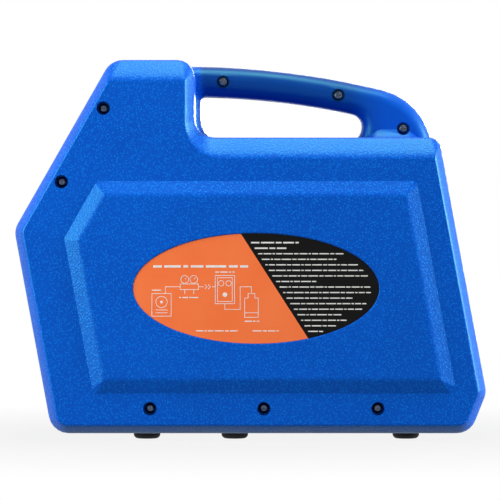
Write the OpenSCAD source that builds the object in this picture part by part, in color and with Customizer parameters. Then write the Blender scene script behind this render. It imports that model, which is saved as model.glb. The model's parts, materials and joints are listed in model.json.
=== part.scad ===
// Portable refrigerant recovery machine: a two-part moulded case with a carrying handle, a sunk
// control front with gauges, valves and hose ports, and a motor, compressor, fan and condenser inside.
// Millimetres. The origin is on the floor under the middle of the case, +Z is up, +X points to the
// fan end and the side with the oval plate faces -Y.

/* [Case outline] */
// Length of the case from its nose to its tail
case_length = 420; // [410:1:440]
// Distance between the two flat sides, without the raised fields
case_width = 234; // [230:1:256]
// Height of the case without its feet
case_height = 332; // [326:1:345]
// Depth of the nose below the tower's top
nose_drop = 151; // [146:1:154]
// Height of the tail above the case bottom
tail_height = 36; // [32:1:42]
// Depth of the shelf under the handle below the tower's top
shelf_drop = 69; // [65:1:74]
// Length of the tower's top from corner to corner
tower_length = 74; // [70:1:78]
// Lean of the control face from upright, in degrees
slope_angle = 29.7; // [28:0.1:31]
// Lean of the lower front and of the rear from upright, in degrees
lean_angle = 10.5; // [9.5:0.1:11.5]
// Lean of the short tail face from upright, in degrees
tail_angle = 21.8; // [18:0.1:25]
// Moulded wall of the shells
wall = 3; // [2.5:0.1:3.5]
// Rounding of the large outline corners
corner_r = 18; // [14:0.5:22]
// Rounding of the tower's upper rear corner
tower_corner_r = 15; // [10:0.5:16]
// Rounding of the shelf's rear corner
shelf_corner_r = 11; // [8:0.5:13]

/* [Case edges and fields] */
// Width of the soft bevel along the tower top and the shelf
upper_edge = 20; // [16:0.5:22]
// Width of the soft bevel along the tower's flank
flank_edge = 9; // [7:0.5:12]
// Width of the soft bevel along the front, the bottom and the rear
lower_edge = 8.5; // [7:0.5:11]
// Depth of the soft bevels towards the parting plane
edge_depth = 14; // [11:0.5:16]
// Height of the raised field on each side
field_height = 5.5; // [4:0.5:9]
// Width of the field's sloping border
field_bevel = 14.5; // [10:0.5:16]
// Margin of the field from the front faces
field_front = 43; // [39:1:48]
// Margin of the field from the rear face
field_rear = 27; // [25:1:34]
// Margin of the field below the shelf
field_top = 39; // [36:1:46]
// Margin of the field above the case bottom
field_bottom = 36; // [34:1:42]
// Rounding of the field's corners
field_corner_r = 6; // [2:0.5:18]
// Width of the oval plate
plate_width = 218; // [200:1:230]
// Height of the oval plate
plate_height = 98; // [84:1:106]
// Thickness of the oval plate
plate_thickness = 0.6; // [0.4:0.1:0.8]
// Depth of the plate's face below the field around it
plate_sunk = 0.8; // [0:0.1:1]

/* [Handle] */
// Height of the grip from its underside to its top
grip_height = 27.5; // [25:0.5:29]
// Width of the grip across both halves
grip_width = 40; // [34:1:46]
// Radius of the grip's arched top
grip_arch = 745; // [680:5:800]
// Width of the handle's leg on the tower's flank
grip_leg = 4.5; // [3:0.5:6]
// Length of the finger gap
gap_length = 148; // [140:1:152]
// Rounding of the shoulder where the handle comes down
shoulder_r = 58; // [45:1:62]

/* [Screws and feet] */
// Diameter of the recess over a case screw
recess_d = 12; // [11:0.5:13]
// Depth of the recess over a case screw
recess_depth = 12; // [10:0.5:14]
// Thread diameter of the screws
screw_d = 4.8; // [4:0.1:5]
// Diameter of a screw head
head_d = 9; // [8:0.1:9.6]
// Height of a screw head
head_h = 3.2; // [2.6:0.1:3.6]
// Distance between the screws along the bottom
screw_pitch = 101; // [95:1:104]
// Diameter of a foot at the case
foot_d = 24; // [22:0.5:27]
// Height of the feet under the case
foot_height = 6.5; // [6:0.5:10]

/* [Control front] */
// Clear width of the opening between the two cheeks
front_width = 184; // [180:1:190]
// Depth of the upper panel behind the control face
upper_sink = 20; // [18:0.5:22]
// Depth of the lower panel behind the lower front
lower_sink = 42; // [40:0.5:44]
// Thickness of the panel
panel = 2.5; // [2:0.1:3]
// Diameter of a gauge rim
gauge_d = 66; // [62:1:70]
// Diameter of the valve knobs
valve_knob_d = 38; // [34:1:42]
// Height of the valve knobs
valve_knob_h = 20; // [17:0.5:23]
// Diameter of the mode knob
mode_knob_d = 40; // [36:1:44]
// Height of the mode knob
mode_knob_h = 16; // [13:0.5:17]
// Thread diameter of the hose ports
port_d = 11.1; // [10.8:0.1:11.4]
// Length of a hose port's thread
port_thread = 13; // [11:0.5:15]

/* [Drive and cooling] */
// Height of the motor axis above the floor
axis_z = 112; // [110:1:116]
// Diameter of the motor's stator
stator_d = 116; // [110:1:118]
// Length of the stator
stator_l = 90; // [84:1:92]
// Diameter of the motor shaft
shaft_d = 16; // [14:0.5:18]
// Diameter of the fan
fan_d = 140; // [130:1:144]
// Depth of the fan along its shaft
fan_depth = 20; // [16:1:21]
// Number of fan blades
fan_blades = 7; // [5:1:9]
// Depth of the condenser in the air stream
condenser_depth = 22; // [18:1:26]
// Number of tube passes in the condenser
condenser_passes = 8; // [4:2:8]
// Outside diameter of the refrigerant pipes
pipe_d = 8; // [6:0.5:8.5]
// Diameter of a cylinder's cooling fins
cylinder_fin_d = 64; // [58:1:66]

/* [Hidden] */
$fn = 64;

blue = [0.0, 0.33, 0.76];
charcoal = [0.13, 0.13, 0.14];
black = [0.05, 0.05, 0.05];
steel = [0.7, 0.71, 0.73];
alloy = [0.78, 0.79, 0.8];
brass = [0.82, 0.66, 0.3];
copper = [0.8, 0.48, 0.3];

// Gap around a part that drops into an opening, and running gap around a turning shaft
seat_gap = 0.3;
run_gap = 0.05;
// Length by which a cutting tool passes the surface that it cuts
over = 5;
corner_steps = 5;
edge_steps = 5;

// Heights and depths that follow from the case sizes
half = case_width / 2;
base_z = foot_height;
top_z = base_z + case_height;
nose_height = case_height - nose_drop;
shelf_height = case_height - shelf_drop;
shelf_z = base_z + shelf_height;

// Corners of the side outline, [x, z], anticlockwise from the top of the control face
nose = [-case_length / 2, base_z + nose_height];
tail = [case_length / 2, base_z + tail_height];
tower_front = [nose.x + (top_z - nose.y) * tan(slope_angle), top_z];
tower_back = [tower_front.x + tower_length, top_z];
front_foot = [nose.x + nose_height * tan(lean_angle), base_z];
rear_foot = [tail.x - tail_height * tan(tail_angle), base_z];
shelf_back = [tail.x - (shelf_z - tail.y) * tan(lean_angle), shelf_z];
shelf_front = [tower_back.x, shelf_z];
outline = [tower_front, nose, front_foot, rear_foot, tail, shelf_back, shelf_front, tower_back];
outline_r = [corner_r, corner_r, corner_r, corner_r, corner_r, shelf_corner_r, corner_r, tower_corner_r];
edge_widths = [
    lower_edge, lower_edge, lower_edge, lower_edge, lower_edge, upper_edge, flank_edge, upper_edge
];

// Plane geometry
function unit(v) = v / norm(v);
function left_of(d) = [-d.y, d.x];
function cross2(a, b) = a.x * b.y - a.y * b.x;
function turned(v, a) = [v.x * cos(a) - v.y * sin(a), v.x * sin(a) + v.y * cos(a)];
function crossing(p, d, q, e) = p + d * cross2(q - p, e) / cross2(d, e);
function heading(pts, i) = unit(pts[(i + 1) % len(pts)] - pts[i % len(pts)]);
function before(pts, i) = (i + len(pts) - 1) % len(pts);

// The closed path with each side moved inwards by its own width
function inset_path(pts, widths) = [
    for (i = [0 : len(pts) - 1])
        let (j = before(pts, i), d = heading(pts, j), e = heading(pts, i))
            crossing(pts[j] + left_of(d) * widths[j], d, pts[i] + left_of(e) * widths[i], e)
];

// The closed path with each corner replaced by an arc
function round_path(pts, radii, steps) = [
    for (i = [0 : len(pts) - 1])
        let (
            d = heading(pts, before(pts, i)),
            e = heading(pts, i),
            turn = atan2(cross2(d, e), d * e),
            start = pts[i] - d * radii[i] * tan(abs(turn) / 2),
            centre = start + left_of(d) * sign(turn) * radii[i]
        )
            for (k = [0 : steps]) centre + turned(start - centre, turn * k / steps)
];

// Corner radii after the sides have moved inwards: outer corners tighten and inner corners open
function inset_radii(pts, radii, widths) = [
    for (i = [0 : len(pts) - 1])
        let (
            j = before(pts, i),
            moved = (widths[i] + widths[j]) / 2,
            outer = cross2(heading(pts, j), heading(pts, i)) > 0
        )
            outer ? max(radii[i] - moved, 1) : radii[i] + moved
];

function rounded_inset(pts, radii, widths, steps) =
    round_path(inset_path(pts, widths), inset_radii(pts, radii, widths), steps);
function same(pts, width) = [for (p = pts) width];
function at_depth(path, y) = [for (p = path) [p.x, y, p.y]];

// The closed path moved inwards by one width, safe where its sides run nearly straight on
function shrink_path(pts, width) = [
    for (i = [0 : len(pts) - 1])
        let (a = left_of(heading(pts, before(pts, i))), b = left_of(heading(pts, i)))
            pts[i] + (a + b) * width / (1 + a * b)
];

// Solid skin through a list of rings with equal numbers of points, from the parting plane outwards
module loft(rings) {
    n = len(rings[0]);
    last = len(rings) - 1;
    polyhedron(
        points = [for (ring = rings) each ring],
        faces = concat(
            [[for (i = [0 : n - 1]) i]],
            [for (k = [0 : last - 1]) for (i = [0 : n - 1])
                [k * n + i, (k + 1) * n + i, (k + 1) * n + (i + 1) % n, k * n + (i + 1) % n]],
            [[for (i = [n - 1 : -1 : 0]) last * n + i]]
        )
    );
}

// Extrudes an [x, z] outline across the machine
module across(width) rotate([90, 0, 0]) linear_extrude(width, center = true) children();

// Points and frames on the control face, the lower front and the rear. A station is measured from
// the nose or the tail along the face, a depth inwards from the face. In each frame +Z points outwards
// and +Y up the face.
function slope_point(s, y, d) = [
    nose.x + s * sin(slope_angle) + d * cos(slope_angle), y,
    nose.y + s * cos(slope_angle) - d * sin(slope_angle)
];
function front_point(s, y, d) = [
    nose.x + s * sin(lean_angle) + d * cos(lean_angle), y,
    nose.y - s * cos(lean_angle) + d * sin(lean_angle)
];
function rear_point(s, y, d) = [
    tail.x - s * sin(lean_angle) - d * cos(lean_angle), y,
    tail.y + s * cos(lean_angle) - d * sin(lean_angle)
];
function flat(p) = [p.x, p.z];
function snap(p) = [for (v = p) round(v * 2) / 2];

module front_frame(p, tilt)
    multmatrix([[0, sin(tilt), -cos(tilt), p.x], [-1, 0, 0, p.y], [0, cos(tilt), sin(tilt), p.z]])
        children();
module on_slope(s, y, d) front_frame(slope_point(s, y, d), slope_angle) children();
module on_front(s, y, d) front_frame(front_point(s, y, d), -lean_angle) children();
module on_rear(s, y, d) let (p = rear_point(s, y, d))
    multmatrix([
        [0, -sin(lean_angle), cos(lean_angle), p.x],
        [1, 0, 0, p.y],
        [0, cos(lean_angle), sin(lean_angle), p.z]
    ]) children();

module along_x(x) translate([x, 0, axis_z]) rotate([0, 90, 0]) children();
module towards_near(x, y, z) translate([x, -y, z]) rotate([90, 0, 0]) children();
module towards_far(x, y, z) translate([x, y, z]) rotate([-90, 0, 0]) children();
module both_sides() {
    children();
    mirror([0, 1, 0]) children();
}

// Screw places
slope_length = norm(tower_front - nose);
front_screw_stations = [58, 133];
front_screw_inset = 16;
screw_seat = wall;
tray_screw_z = base_z + 22.5;
tray_screw_x = 12;
cup_r = recess_d / 2 + wall;
head_y = half - recess_depth;
seat_y = head_y - screw_seat;
front_screws = [for (s = front_screw_stations) flat(slope_point(s, 0, front_screw_inset))];
tray_screws = [for (k = [-1 : 1]) [tray_screw_x + k * screw_pitch, tray_screw_z]];
side_screws = concat(front_screws, tray_screws);
clear_r = screw_d / 2 + seat_gap;

// Handle: arched band with a leg on the tower's flank and a shoulder at the rear, both rooted in the shelf
gap_start = tower_back.x + grip_leg;
gap_end = gap_start + gap_length;
gap_end_r = 11;
gap_root_r = 14;
leg_top_r = 5;
leg_root_r = 21.5;
root_reach = 24;
root_sunk = 1;
root_depth = 30;
grip_drop = 0.7;
arch_lead = 11;
arch_centre = [gap_start - arch_lead, top_z - grip_drop - grip_arch];
grip_half = grip_width / 2;
grip_edge = 12;
grip_start = gap_start - 2 * grip_half;
shoulder_lean = 20;
shoulder_top_x = gap_end + 5;
shoulder_base = [shelf_back.x + 1, shelf_z - 6.5];
arch_steps = 10;
function arch_z(r, x) = arch_centre.y + sqrt(r * r - pow(x - arch_centre.x, 2));
function arch_points(r, from, to) = [
    for (k = [0 : arch_steps]) let (x = from + (to - from) * k / arch_steps) [x, arch_z(r, x)]
];
grip_under = grip_arch - grip_height;
shoulder_top = [shoulder_top_x, arch_z(grip_arch, shoulder_top_x)];
shoulder_corner = crossing(
    shoulder_top, left_of(unit(arch_centre - shoulder_top)),
    shoulder_base, [-sin(shoulder_lean), cos(shoulder_lean)]
);
root_low = shelf_z - root_depth;
root_high = shelf_z - root_sunk;
grip_path = concat(
    [[grip_start, root_low], [gap_start + root_reach, root_low], [gap_start + root_reach, root_high]],
    [[gap_start, root_high], [gap_start, arch_z(grip_under, gap_start)]],
    arch_points(grip_under, gap_start + root_reach, gap_end - root_reach),
    [[gap_end, arch_z(grip_under, gap_end)], [gap_end, root_high]],
    [[gap_end - root_reach, root_high], [gap_end - root_reach, root_low], [shoulder_base.x, root_low]],
    [shoulder_base, shoulder_corner],
    arch_points(grip_arch, shoulder_top_x, grip_start)
);
arch_r = [for (k = [0 : arch_steps]) 0];
grip_r = concat(
    [0, 0, 0, leg_root_r, leg_top_r], arch_r, [gap_end_r, gap_root_r, 0, 0, 0, 0, shoulder_r], arch_r
);
grip_outline = [
    for (i = [0 : len(grip_path) - 1])
        let (one = round_path(grip_path, grip_r, corner_steps))
            for (k = grip_r[i] == 0 ? [0] : [0 : corner_steps]) one[i * (corner_steps + 1) + k]
];
grip_screw_x = [-25, 80.5];
grip_screws = concat(
    [for (x = grip_screw_x) [x, arch_z(grip_arch - grip_height / 2, x)]], [[shelf_back.x - 28, shelf_z + 11]]
);
grip_recess = 4;
post_r = 8;
post_sunk = 2.5;

// Bevel with rounded ends from the wall to the side face, each point as shares of its width and depth
bevel_from = [0, 0.12];
bevel_to = [0.85, 1];
bevel_run = bevel_to - bevel_from;
bevel_first = bevel_from + bevel_run * 0.25;
bevel_last = bevel_from + bevel_run * 0.65;
function bend(a, b, c, t) = a * pow(1 - t, 2) + b * 2 * t * (1 - t) + c * t * t;
bevel_points = concat(
    [for (k = [0 : 2]) bend([0, 0], bevel_from, bevel_first, k / 2)],
    [for (k = [0 : 3]) bend(bevel_last, bevel_to, [1, 1], k / 3)]
);
function edge_insets(skin, share) = [for (w = edge_widths) skin + (w - skin) * share];
function case_ring(skin, share, y) =
    at_depth(rounded_inset(outline, outline_r, edge_insets(skin, share), corner_steps), y);
parting_bevel = 0.8;
function case_rings(skin) = let (straight = half - edge_depth, deep = edge_depth - skin) concat(
    skin > 0 ? [case_ring(skin, 0, over)] :
        [at_depth(rounded_inset(outline, outline_r, same(outline, parting_bevel), corner_steps), 0),
        case_ring(0, 0, -parting_bevel)],
    [for (p = bevel_points) case_ring(skin, p.x, -straight - deep * p.y)]
);

// Raised field: the outline without the tower, moved inwards, with a border that slopes and ends softly
field_corners = [
    crossing(nose, [sin(slope_angle), cos(slope_angle)], shelf_back, [1, 0]), nose, front_foot,
    crossing(tail, [sin(lean_angle), -cos(lean_angle)], front_foot, [1, 0]), shelf_back
];
field_margins = [field_front, field_front, field_bottom, field_rear, field_top];
field_path = inset_path(field_corners, field_margins);
field_straight = 0.7;
field_soft = 1 - field_straight;
field_steps = concat([0], [for (k = [0 : 3]) field_straight + field_soft * k / 3]);
function field_rise(t) = (t - pow(max(t - field_straight, 0), 2) / field_soft / 2) * 2 / (1 + field_straight);
function field_ring(inset, y) = at_depth(
    rounded_inset(field_path, same(field_path, field_corner_r), same(field_path, inset), corner_steps), y
);
function field_rings(skin) = concat(
    [field_ring(skin, -half + (skin > 0 ? wall + 1 : 1))],
    [for (t = field_steps) field_ring(skin + field_bevel * t, -half + skin - field_height * field_rise(t))]
);

function grip_ring(inset, y) = at_depth(shrink_path(grip_outline, inset), y);
function grip_rings(skin) = let (edge = grip_edge - skin, straight = grip_half - grip_edge) concat(
    skin > 0 ? [grip_ring(skin, over)] : [grip_ring(parting_bevel, 0), grip_ring(0, -parting_bevel)],
    [for (k = [0 : edge_steps]) let (a = 90 * k / edge_steps)
        grip_ring(skin + edge * (1 - cos(a)), -straight - edge * sin(a))]
);

// Concave fillet where the handle's shoulder comes down on the shelf, rounded at both ends
shoulder_fillet = 16;
fillet_back = 6;
function flare_ring(angle) = let (
    z = shelf_z - 1 + (shoulder_fillet + 1) * (1 - cos(angle)),
    y = grip_half - 1 + shoulder_fillet * (1 - sin(angle)),
    x0 = gap_end + fillet_back - gap_root_r * (1 - sin(angle)),
    x1 = shelf_back.x - shelf_corner_r - (z - shelf_z) * tan(shoulder_lean)
) [
    for (p = round_path([[x0, -y], [x1, -y], [x1, y], [x0, y]], same([1, 1, 1, 1], grip_edge), corner_steps))
        [p.x, p.y, z]
];
module shoulder_flare() intersection() {
    loft([for (k = [0 : edge_steps]) flare_ring(90 * k / edge_steps)]);
    translate([gap_end - over, -case_width, shelf_z - over])
        cube([gap_length, case_width, shoulder_fillet * 2]);
}

// Window through the front wall from the control face round the nose to the lower front
front_lintel = 16;
front_sill = 34;
front_top = slope_length - front_lintel;
front_bottom = nose_height / cos(lean_angle) - front_sill;
function front_edge(d) = [
    flat(slope_point(front_top + panel + seat_gap, 0, d)),
    crossing(
        flat(slope_point(0, 0, d)), [sin(slope_angle), cos(slope_angle)],
        flat(front_point(0, 0, d)), [sin(lean_angle), -cos(lean_angle)]
    ),
    flat(front_point(front_bottom + panel + seat_gap, 0, d))
];
function backwards(pts) = [for (i = [len(pts) - 1 : -1 : 0]) pts[i]];
module front_window() across(front_width)
    polygon(concat(front_edge(-over), backwards(front_edge(wall + over))));

// Window through the rear wall for the grille
rear_low = 26;
rear_lintel = 27;
rear_high = (shelf_z - tail.y) / cos(lean_angle) - rear_lintel;
rear_mid = (rear_low + rear_high) / 2;
grille_rim = 8;
module rear_window() on_rear(rear_mid, 0, wall / 2)
    cube([front_width, rear_high - rear_low, wall + over * 2], center = true);

plate_x = 5;
plate_drop = 1;
plate_z = base_z + (shelf_height + field_bottom - field_top) / 2 - plate_drop;
plate_points = 72;
module plate_outline(grow) polygon([
    for (k = [0 : plate_points - 1])
        let (a = 360 * k / plate_points)
            [(plate_width / 2 + grow) * cos(a), (plate_height / 2 + grow) * sin(a)]
]);
module in_pocket() translate([plate_x, -half - field_height + plate_sunk + plate_thickness, plate_z])
    rotate([90, 0, 0]) children();

foot_x = [-93, -14, 140];
foot_aside = 35;
foot_y = seat_y - foot_aside;
module at_feet() for (x = foot_x) for (s = [-1, 1]) translate([x, s * foot_y, 0]) children();

// A free-form body taken as one faceted skin
module as_skin() resize([0, 0, 0]) children();

// One half of the case on the near side, before it is drilled
module case_blank() as_skin() {
    difference() {
        union() {
            loft(case_rings(0));
            loft(field_rings(0));
            loft(grip_rings(0));
            shoulder_flare();
        }
        loft(case_rings(wall));
        loft(field_rings(wall));
        loft(grip_rings(wall));
        front_window();
        rear_window();
    }
}

module side_cups() for (p = side_screws) towards_near(p.x, seat_y, p.y)
    cylinder(r = cup_r, h = half - seat_y - 1);
module side_drills() for (p = side_screws) {
    towards_near(p.x, head_y, p.y) cylinder(d = recess_d, h = recess_depth + field_height);
    towards_near(p.x, seat_y - over, p.y) cylinder(r = clear_r, h = screw_seat + over * 2);
}
module grip_posts() for (p = grip_screws) towards_near(p.x, 0, p.y)
    cylinder(r = post_r, h = grip_half - post_sunk);
module foot_drills() at_feet() cylinder(r = clear_r, h = base_z + wall + over);

module near_shell() color(blue) difference() {
    union() {
        case_blank();
        side_cups();
        grip_posts();
    }
    side_drills();
    foot_drills();
    for (p = grip_screws) {
        towards_near(p.x, grip_half - grip_recess, p.y) cylinder(d = recess_d, h = over * 5);
        towards_near(p.x, -over, p.y) cylinder(r = clear_r, h = grip_half + over);
    }
    in_pocket() linear_extrude(over) plate_outline(0);
}

module far_shell() color(blue) mirror([0, 1, 0]) difference() {
    union() {
        case_blank();
        side_cups();
        grip_posts();
    }
    side_drills();
    foot_drills();
    for (p = grip_screws)
        towards_near(p.x, -over, p.y) cylinder(d = screw_d + run_gap * 2, h = grip_half - wall + over);
}

module side_plate() color([0.93, 0.45, 0.22]) in_pocket()
    linear_extrude(plate_thickness) plate_outline(-seat_gap);

// Control front: a sunk tray with an upper and a lower panel, screwed to both shells at its sides
tray_lip = 1;
step_at = 22;
upper_end = slope_point(step_at, 0, upper_sink);
lower_end_s = (nose.y + lower_sink * sin(lean_angle) - upper_end.z) / cos(lean_angle);
panel_path = [
    crossing(
        flat(slope_point(0, 0, tray_lip)), [sin(slope_angle), cos(slope_angle)],
        flat(front_point(0, 0, tray_lip)), [sin(lean_angle), -cos(lean_angle)]
    ),
    flat(front_point(front_bottom, 0, tray_lip)), flat(front_point(front_bottom, 0, lower_sink)),
    flat(front_point(lower_end_s, 0, lower_sink)), flat(upper_end),
    flat(slope_point(front_top, 0, upper_sink)), flat(slope_point(front_top, 0, tray_lip))
];
panel_y = front_width / 2 - seat_gap;
gauge_station = 112;
gauge_y = 43;
control_station = 46;
control_y = 58;
valve_station = 44;
port_station = 96;
valve_y = 46;
socket_station = port_station;
gauge_case_r = gauge_d / 2 - 5;
stem_r = 4;
port_root_r = port_d / 2 - 0.6;
socket_size = [28, 21];
switch_size = [24, 28];
breaker_r = 9;
boss_r = 7;

socket_flange = [socket_size.x + 18, socket_size.y + 6];
slot_high = 4.5;
slot_pitch = 9;
upper_slot_w = 36;
lower_slot_w = 150;
upper_slots_at = 26;
lower_slots_at = socket_station + 25;
module slots(width, from, to) for (s = [from : slot_pitch : to - slot_high]) on_front(s, 0, lower_sink)
    cube([width, slot_high, panel * 4], center = true);
module vent_slots() {
    slots(upper_slot_w, upper_slots_at, socket_station - socket_flange.y / 2);
    slots(lower_slot_w, lower_slots_at, front_bottom);
}

module front_panel() color(charcoal) difference() {
    union() {
        across(panel_y * 2) polygon(
            inset_path(panel_path, [0, -panel, -panel, -panel, -panel, -panel, 0])
        );
        both_sides() for (p = front_screws) towards_near(p.x, panel_y - 1, p.y)
            cylinder(r = boss_r, h = seat_y - panel_y + 1);
    }
    across((panel_y - panel) * 2) polygon(inset_path(panel_path, [-over, 0, 0, 0, 0, 0, -over]));
    both_sides() for (p = front_screws) towards_near(p.x, panel_y - panel * 2, p.y)
        cylinder(d = screw_d + run_gap * 2, h = seat_y);
    for (s = [-1, 1]) {
        on_slope(gauge_station, s * gauge_y, upper_sink + panel * 2)
            cylinder(r = gauge_case_r + seat_gap, h = panel * 4);
        on_front(valve_station, s * valve_y, lower_sink + panel * 2)
            cylinder(r = stem_r + seat_gap, h = panel * 4);
        on_front(port_station, s * valve_y, lower_sink + panel * 2)
            cylinder(r = port_root_r + seat_gap, h = panel * 4);
    }
    on_slope(control_station, 0, upper_sink + panel * 2) cylinder(r = stem_r + seat_gap, h = panel * 4);
    on_slope(control_station, -control_y, upper_sink + panel * 2)
        cylinder(r = breaker_r + seat_gap, h = panel * 4);
    on_slope(control_station, control_y, upper_sink)
        cube([switch_size.x + seat_gap * 2, switch_size.y + seat_gap * 2, panel * 4], center = true);
    on_front(socket_station, 0, lower_sink)
        cube([socket_size.x + seat_gap * 2, socket_size.y + seat_gap * 2, panel * 4], center = true);
    vent_slots();
}

// Rear grille: a framed louvre held behind the rim of its window
slat_pitch = 11;
slat_tilt = 35;
grille_frame = 7;
module rear_grille() color(black) on_rear(rear_mid, 0, wall) {
    high = rear_high - rear_low;
    inner = [front_width - 2 * grille_frame, high - 2 * grille_frame];
    slats = floor(inner.y / slat_pitch);
    difference() {
        union() {
            translate([0, 0, wall / 2 - 0.5])
                cube([front_width - 2 * seat_gap, high - 2 * seat_gap, wall + 1], center = true);
            translate([0, 0, -1.5]) cube([front_width + grille_rim, high + 2 * grille_rim, 3], center = true);
        }
        cube([inner.x, inner.y, wall * 6], center = true);
    }
    intersection() {
        for (k = [0 : slats]) translate([0, (k - slats / 2) * slat_pitch, -1])
            rotate([slat_tilt, 0, 0]) cube([inner.x + 2, 1.8, 12], center = true);
        translate([0, 0, -0.5]) cube([front_width, inner.y + 2, wall + 4], center = true);
    }
    for (x = [-1, 1]) translate([x * inner.x / 6, 0, -1.5]) cube([3, inner.y + 2, 3], center = true);
}

// Base tray: folded steel floor with side flanges that take the lower case screws
tray_t = 2;
tray_x0 = -125;
tray_x1 = 170;
tray_z = base_z + wall;
deck_z = tray_z + tray_t;
flange_h = 34;
module base_tray() color(steel) difference() {
    union() {
        translate([tray_x0, -seat_y, tray_z]) cube([tray_x1 - tray_x0, seat_y * 2, tray_t]);
        both_sides() translate([tray_x0, -seat_y, tray_z]) cube([tray_x1 - tray_x0, tray_t, flange_h]);
    }
    both_sides() for (p = tray_screws) towards_near(p.x, seat_y - over, p.y)
        cylinder(r = clear_r, h = over * 2);
    at_feet() cylinder(r = clear_r, h = deck_z + over);
}

// Rubber feet: round pads with a full lower edge, each held by a sunk screw
foot_hole_r = head_d / 2 + 0.5;
foot_seat = foot_height - 2.5;
foot_round = 4;
module rubber_feet() color(black) at_feet() rotate_extrude() polygon(concat(
    [[clear_r, base_z], [clear_r, foot_seat], [foot_hole_r, foot_seat], [foot_hole_r, 0]],
    [for (k = [0 : 5]) let (a = k * 18)
        [foot_d / 2 - foot_round * (1 - sin(a)), foot_round * (1 - cos(a))]],
    [[foot_d / 2, base_z]]
));

// Pan-head screw with a cross recess, head outwards along +Z
cross_w = 1.2;
module screw(length) {
    difference() {
        rotate_extrude() polygon([
            [0, -length], [screw_d / 2, -length], [screw_d / 2, 0], [head_d / 2, 0],
            [head_d / 2, head_h * 0.45], [head_d / 2 - 1, head_h * 0.85], [head_d / 2 - 2.2, head_h],
            [0, head_h]
        ]);
        for (a = [0, 90]) rotate(a) translate([0, 0, head_h])
            cube([head_d * 0.55, cross_w, head_h], center = true);
    }
}
side_screw_l = 16;
nut_h = 4;
nut_d = 9.2;
foot_screw_l = deck_z - foot_seat + nut_h + 2;
module foot_screws() color(steel) at_feet() translate([0, 0, foot_seat])
    rotate([180, 0, 0]) screw(foot_screw_l);
module case_screws() color(steel) {
    for (p = side_screws) {
        towards_near(p.x, head_y, p.y) screw(side_screw_l);
        towards_far(p.x, head_y, p.y) screw(side_screw_l);
    }
    for (p = grip_screws) towards_near(p.x, grip_half - grip_recess, p.y) screw(grip_half - grip_recess + 10);
}
module nut() difference() {
    cylinder(d = nut_d, h = nut_h, $fn = 6);
    translate([0, 0, -1]) cylinder(d = screw_d + run_gap * 2, h = nut_h + 2);
}
module tray_nuts() color(steel) {
    at_feet() translate([0, 0, deck_z]) nut();
    both_sides() for (p = tray_screws) towards_near(p.x, seat_y - tray_t - nut_h, p.y) nut();
}

// Pressure gauge in a frame whose +Z points outwards from the panel face
dial_r = gauge_case_r - 1.5;
ledge_r = dial_r - 2.5;
gauge_back = 28;
arbor_r = 1;
bezel_h = 9.5;
module gauge_case() difference() {
    union() {
        translate([0, 0, -gauge_back]) cylinder(r = gauge_case_r, h = gauge_back);
        cylinder(d = gauge_d - 2, h = 2);
        translate([0, 0, -gauge_back - 8]) cylinder(d = 12, h = 8.5, $fn = 6);
    }
    translate([0, 0, 0.4]) cylinder(r = dial_r + 0.2, h = over);
    difference() {
        translate([0, 0, 3 - gauge_back]) cylinder(r = ledge_r, h = gauge_back);
        translate([0, 0, -gauge_back]) cylinder(r = 4, h = gauge_back - 3);
    }
    translate([0, 0, 5 - gauge_back]) cylinder(r = arbor_r + run_gap, h = gauge_back);
}
module gauge_dial() difference() {
    translate([0, 0, 0.4]) cylinder(r = dial_r, h = 0.8);
    cylinder(r = arbor_r + 0.15, h = over);
}
needle_rest = 135;
module gauge_needle() {
    translate([0, 0, -8]) cylinder(r = arbor_r, h = 11);
    translate([0, 0, 2]) cylinder(r = 3.2, h = 2.2);
    rotate(needle_rest) translate([0, 0, 2.5]) linear_extrude(0.8)
        polygon([[-1.1, -8], [1.1, -8], [1.2, 0], [0.35, dial_r - 5], [-0.35, dial_r - 5], [-1.2, 0]]);
}
module gauge_lens() translate([0, 0, 6]) cylinder(r = dial_r + 1.3, h = 1.5);
module gauge_bezel() rotate_extrude() polygon([
    [dial_r + 0.4, 2], [gauge_d / 2 - 0.6, 2], [gauge_d / 2, 2.8], [gauge_d / 2, 6],
    [gauge_d / 2 - 1.4, bezel_h - 0.8], [gauge_d / 2 - 3, bezel_h], [dial_r - 0.2, bezel_h],
    [dial_r - 1, bezel_h - 0.8], [dial_r - 1, 7.5], [dial_r + 1.4, 7.5], [dial_r + 1.4, 6], [dial_r + 0.4, 6]
]);
module at_low_gauge() on_slope(gauge_station, gauge_y, upper_sink) children();
module at_high_gauge() on_slope(gauge_station, -gauge_y, upper_sink) children();
module low_gauge_case() color(black) difference() {
    at_low_gauge() gauge_case();
    tube_drills(tube_gap);
}
module low_gauge_dial() color("white") at_low_gauge() gauge_dial();
module low_gauge_needle() color("black") at_low_gauge() gauge_needle();
module low_gauge_lens() color([0.85, 0.9, 0.95]) at_low_gauge() gauge_lens();
module low_gauge_bezel() color([0.05, 0.25, 0.7]) at_low_gauge() gauge_bezel();
module high_gauge_case() color(black) difference() {
    at_high_gauge() gauge_case();
    tube_drills(tube_gap);
}
module high_gauge_dial() color("white") at_high_gauge() gauge_dial();
module high_gauge_needle() color("black") at_high_gauge() gauge_needle();
module high_gauge_lens() color([0.85, 0.9, 0.95]) at_high_gauge() gauge_lens();
module high_gauge_bezel() color([0.75, 0.08, 0.06]) at_high_gauge() gauge_bezel();

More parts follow.
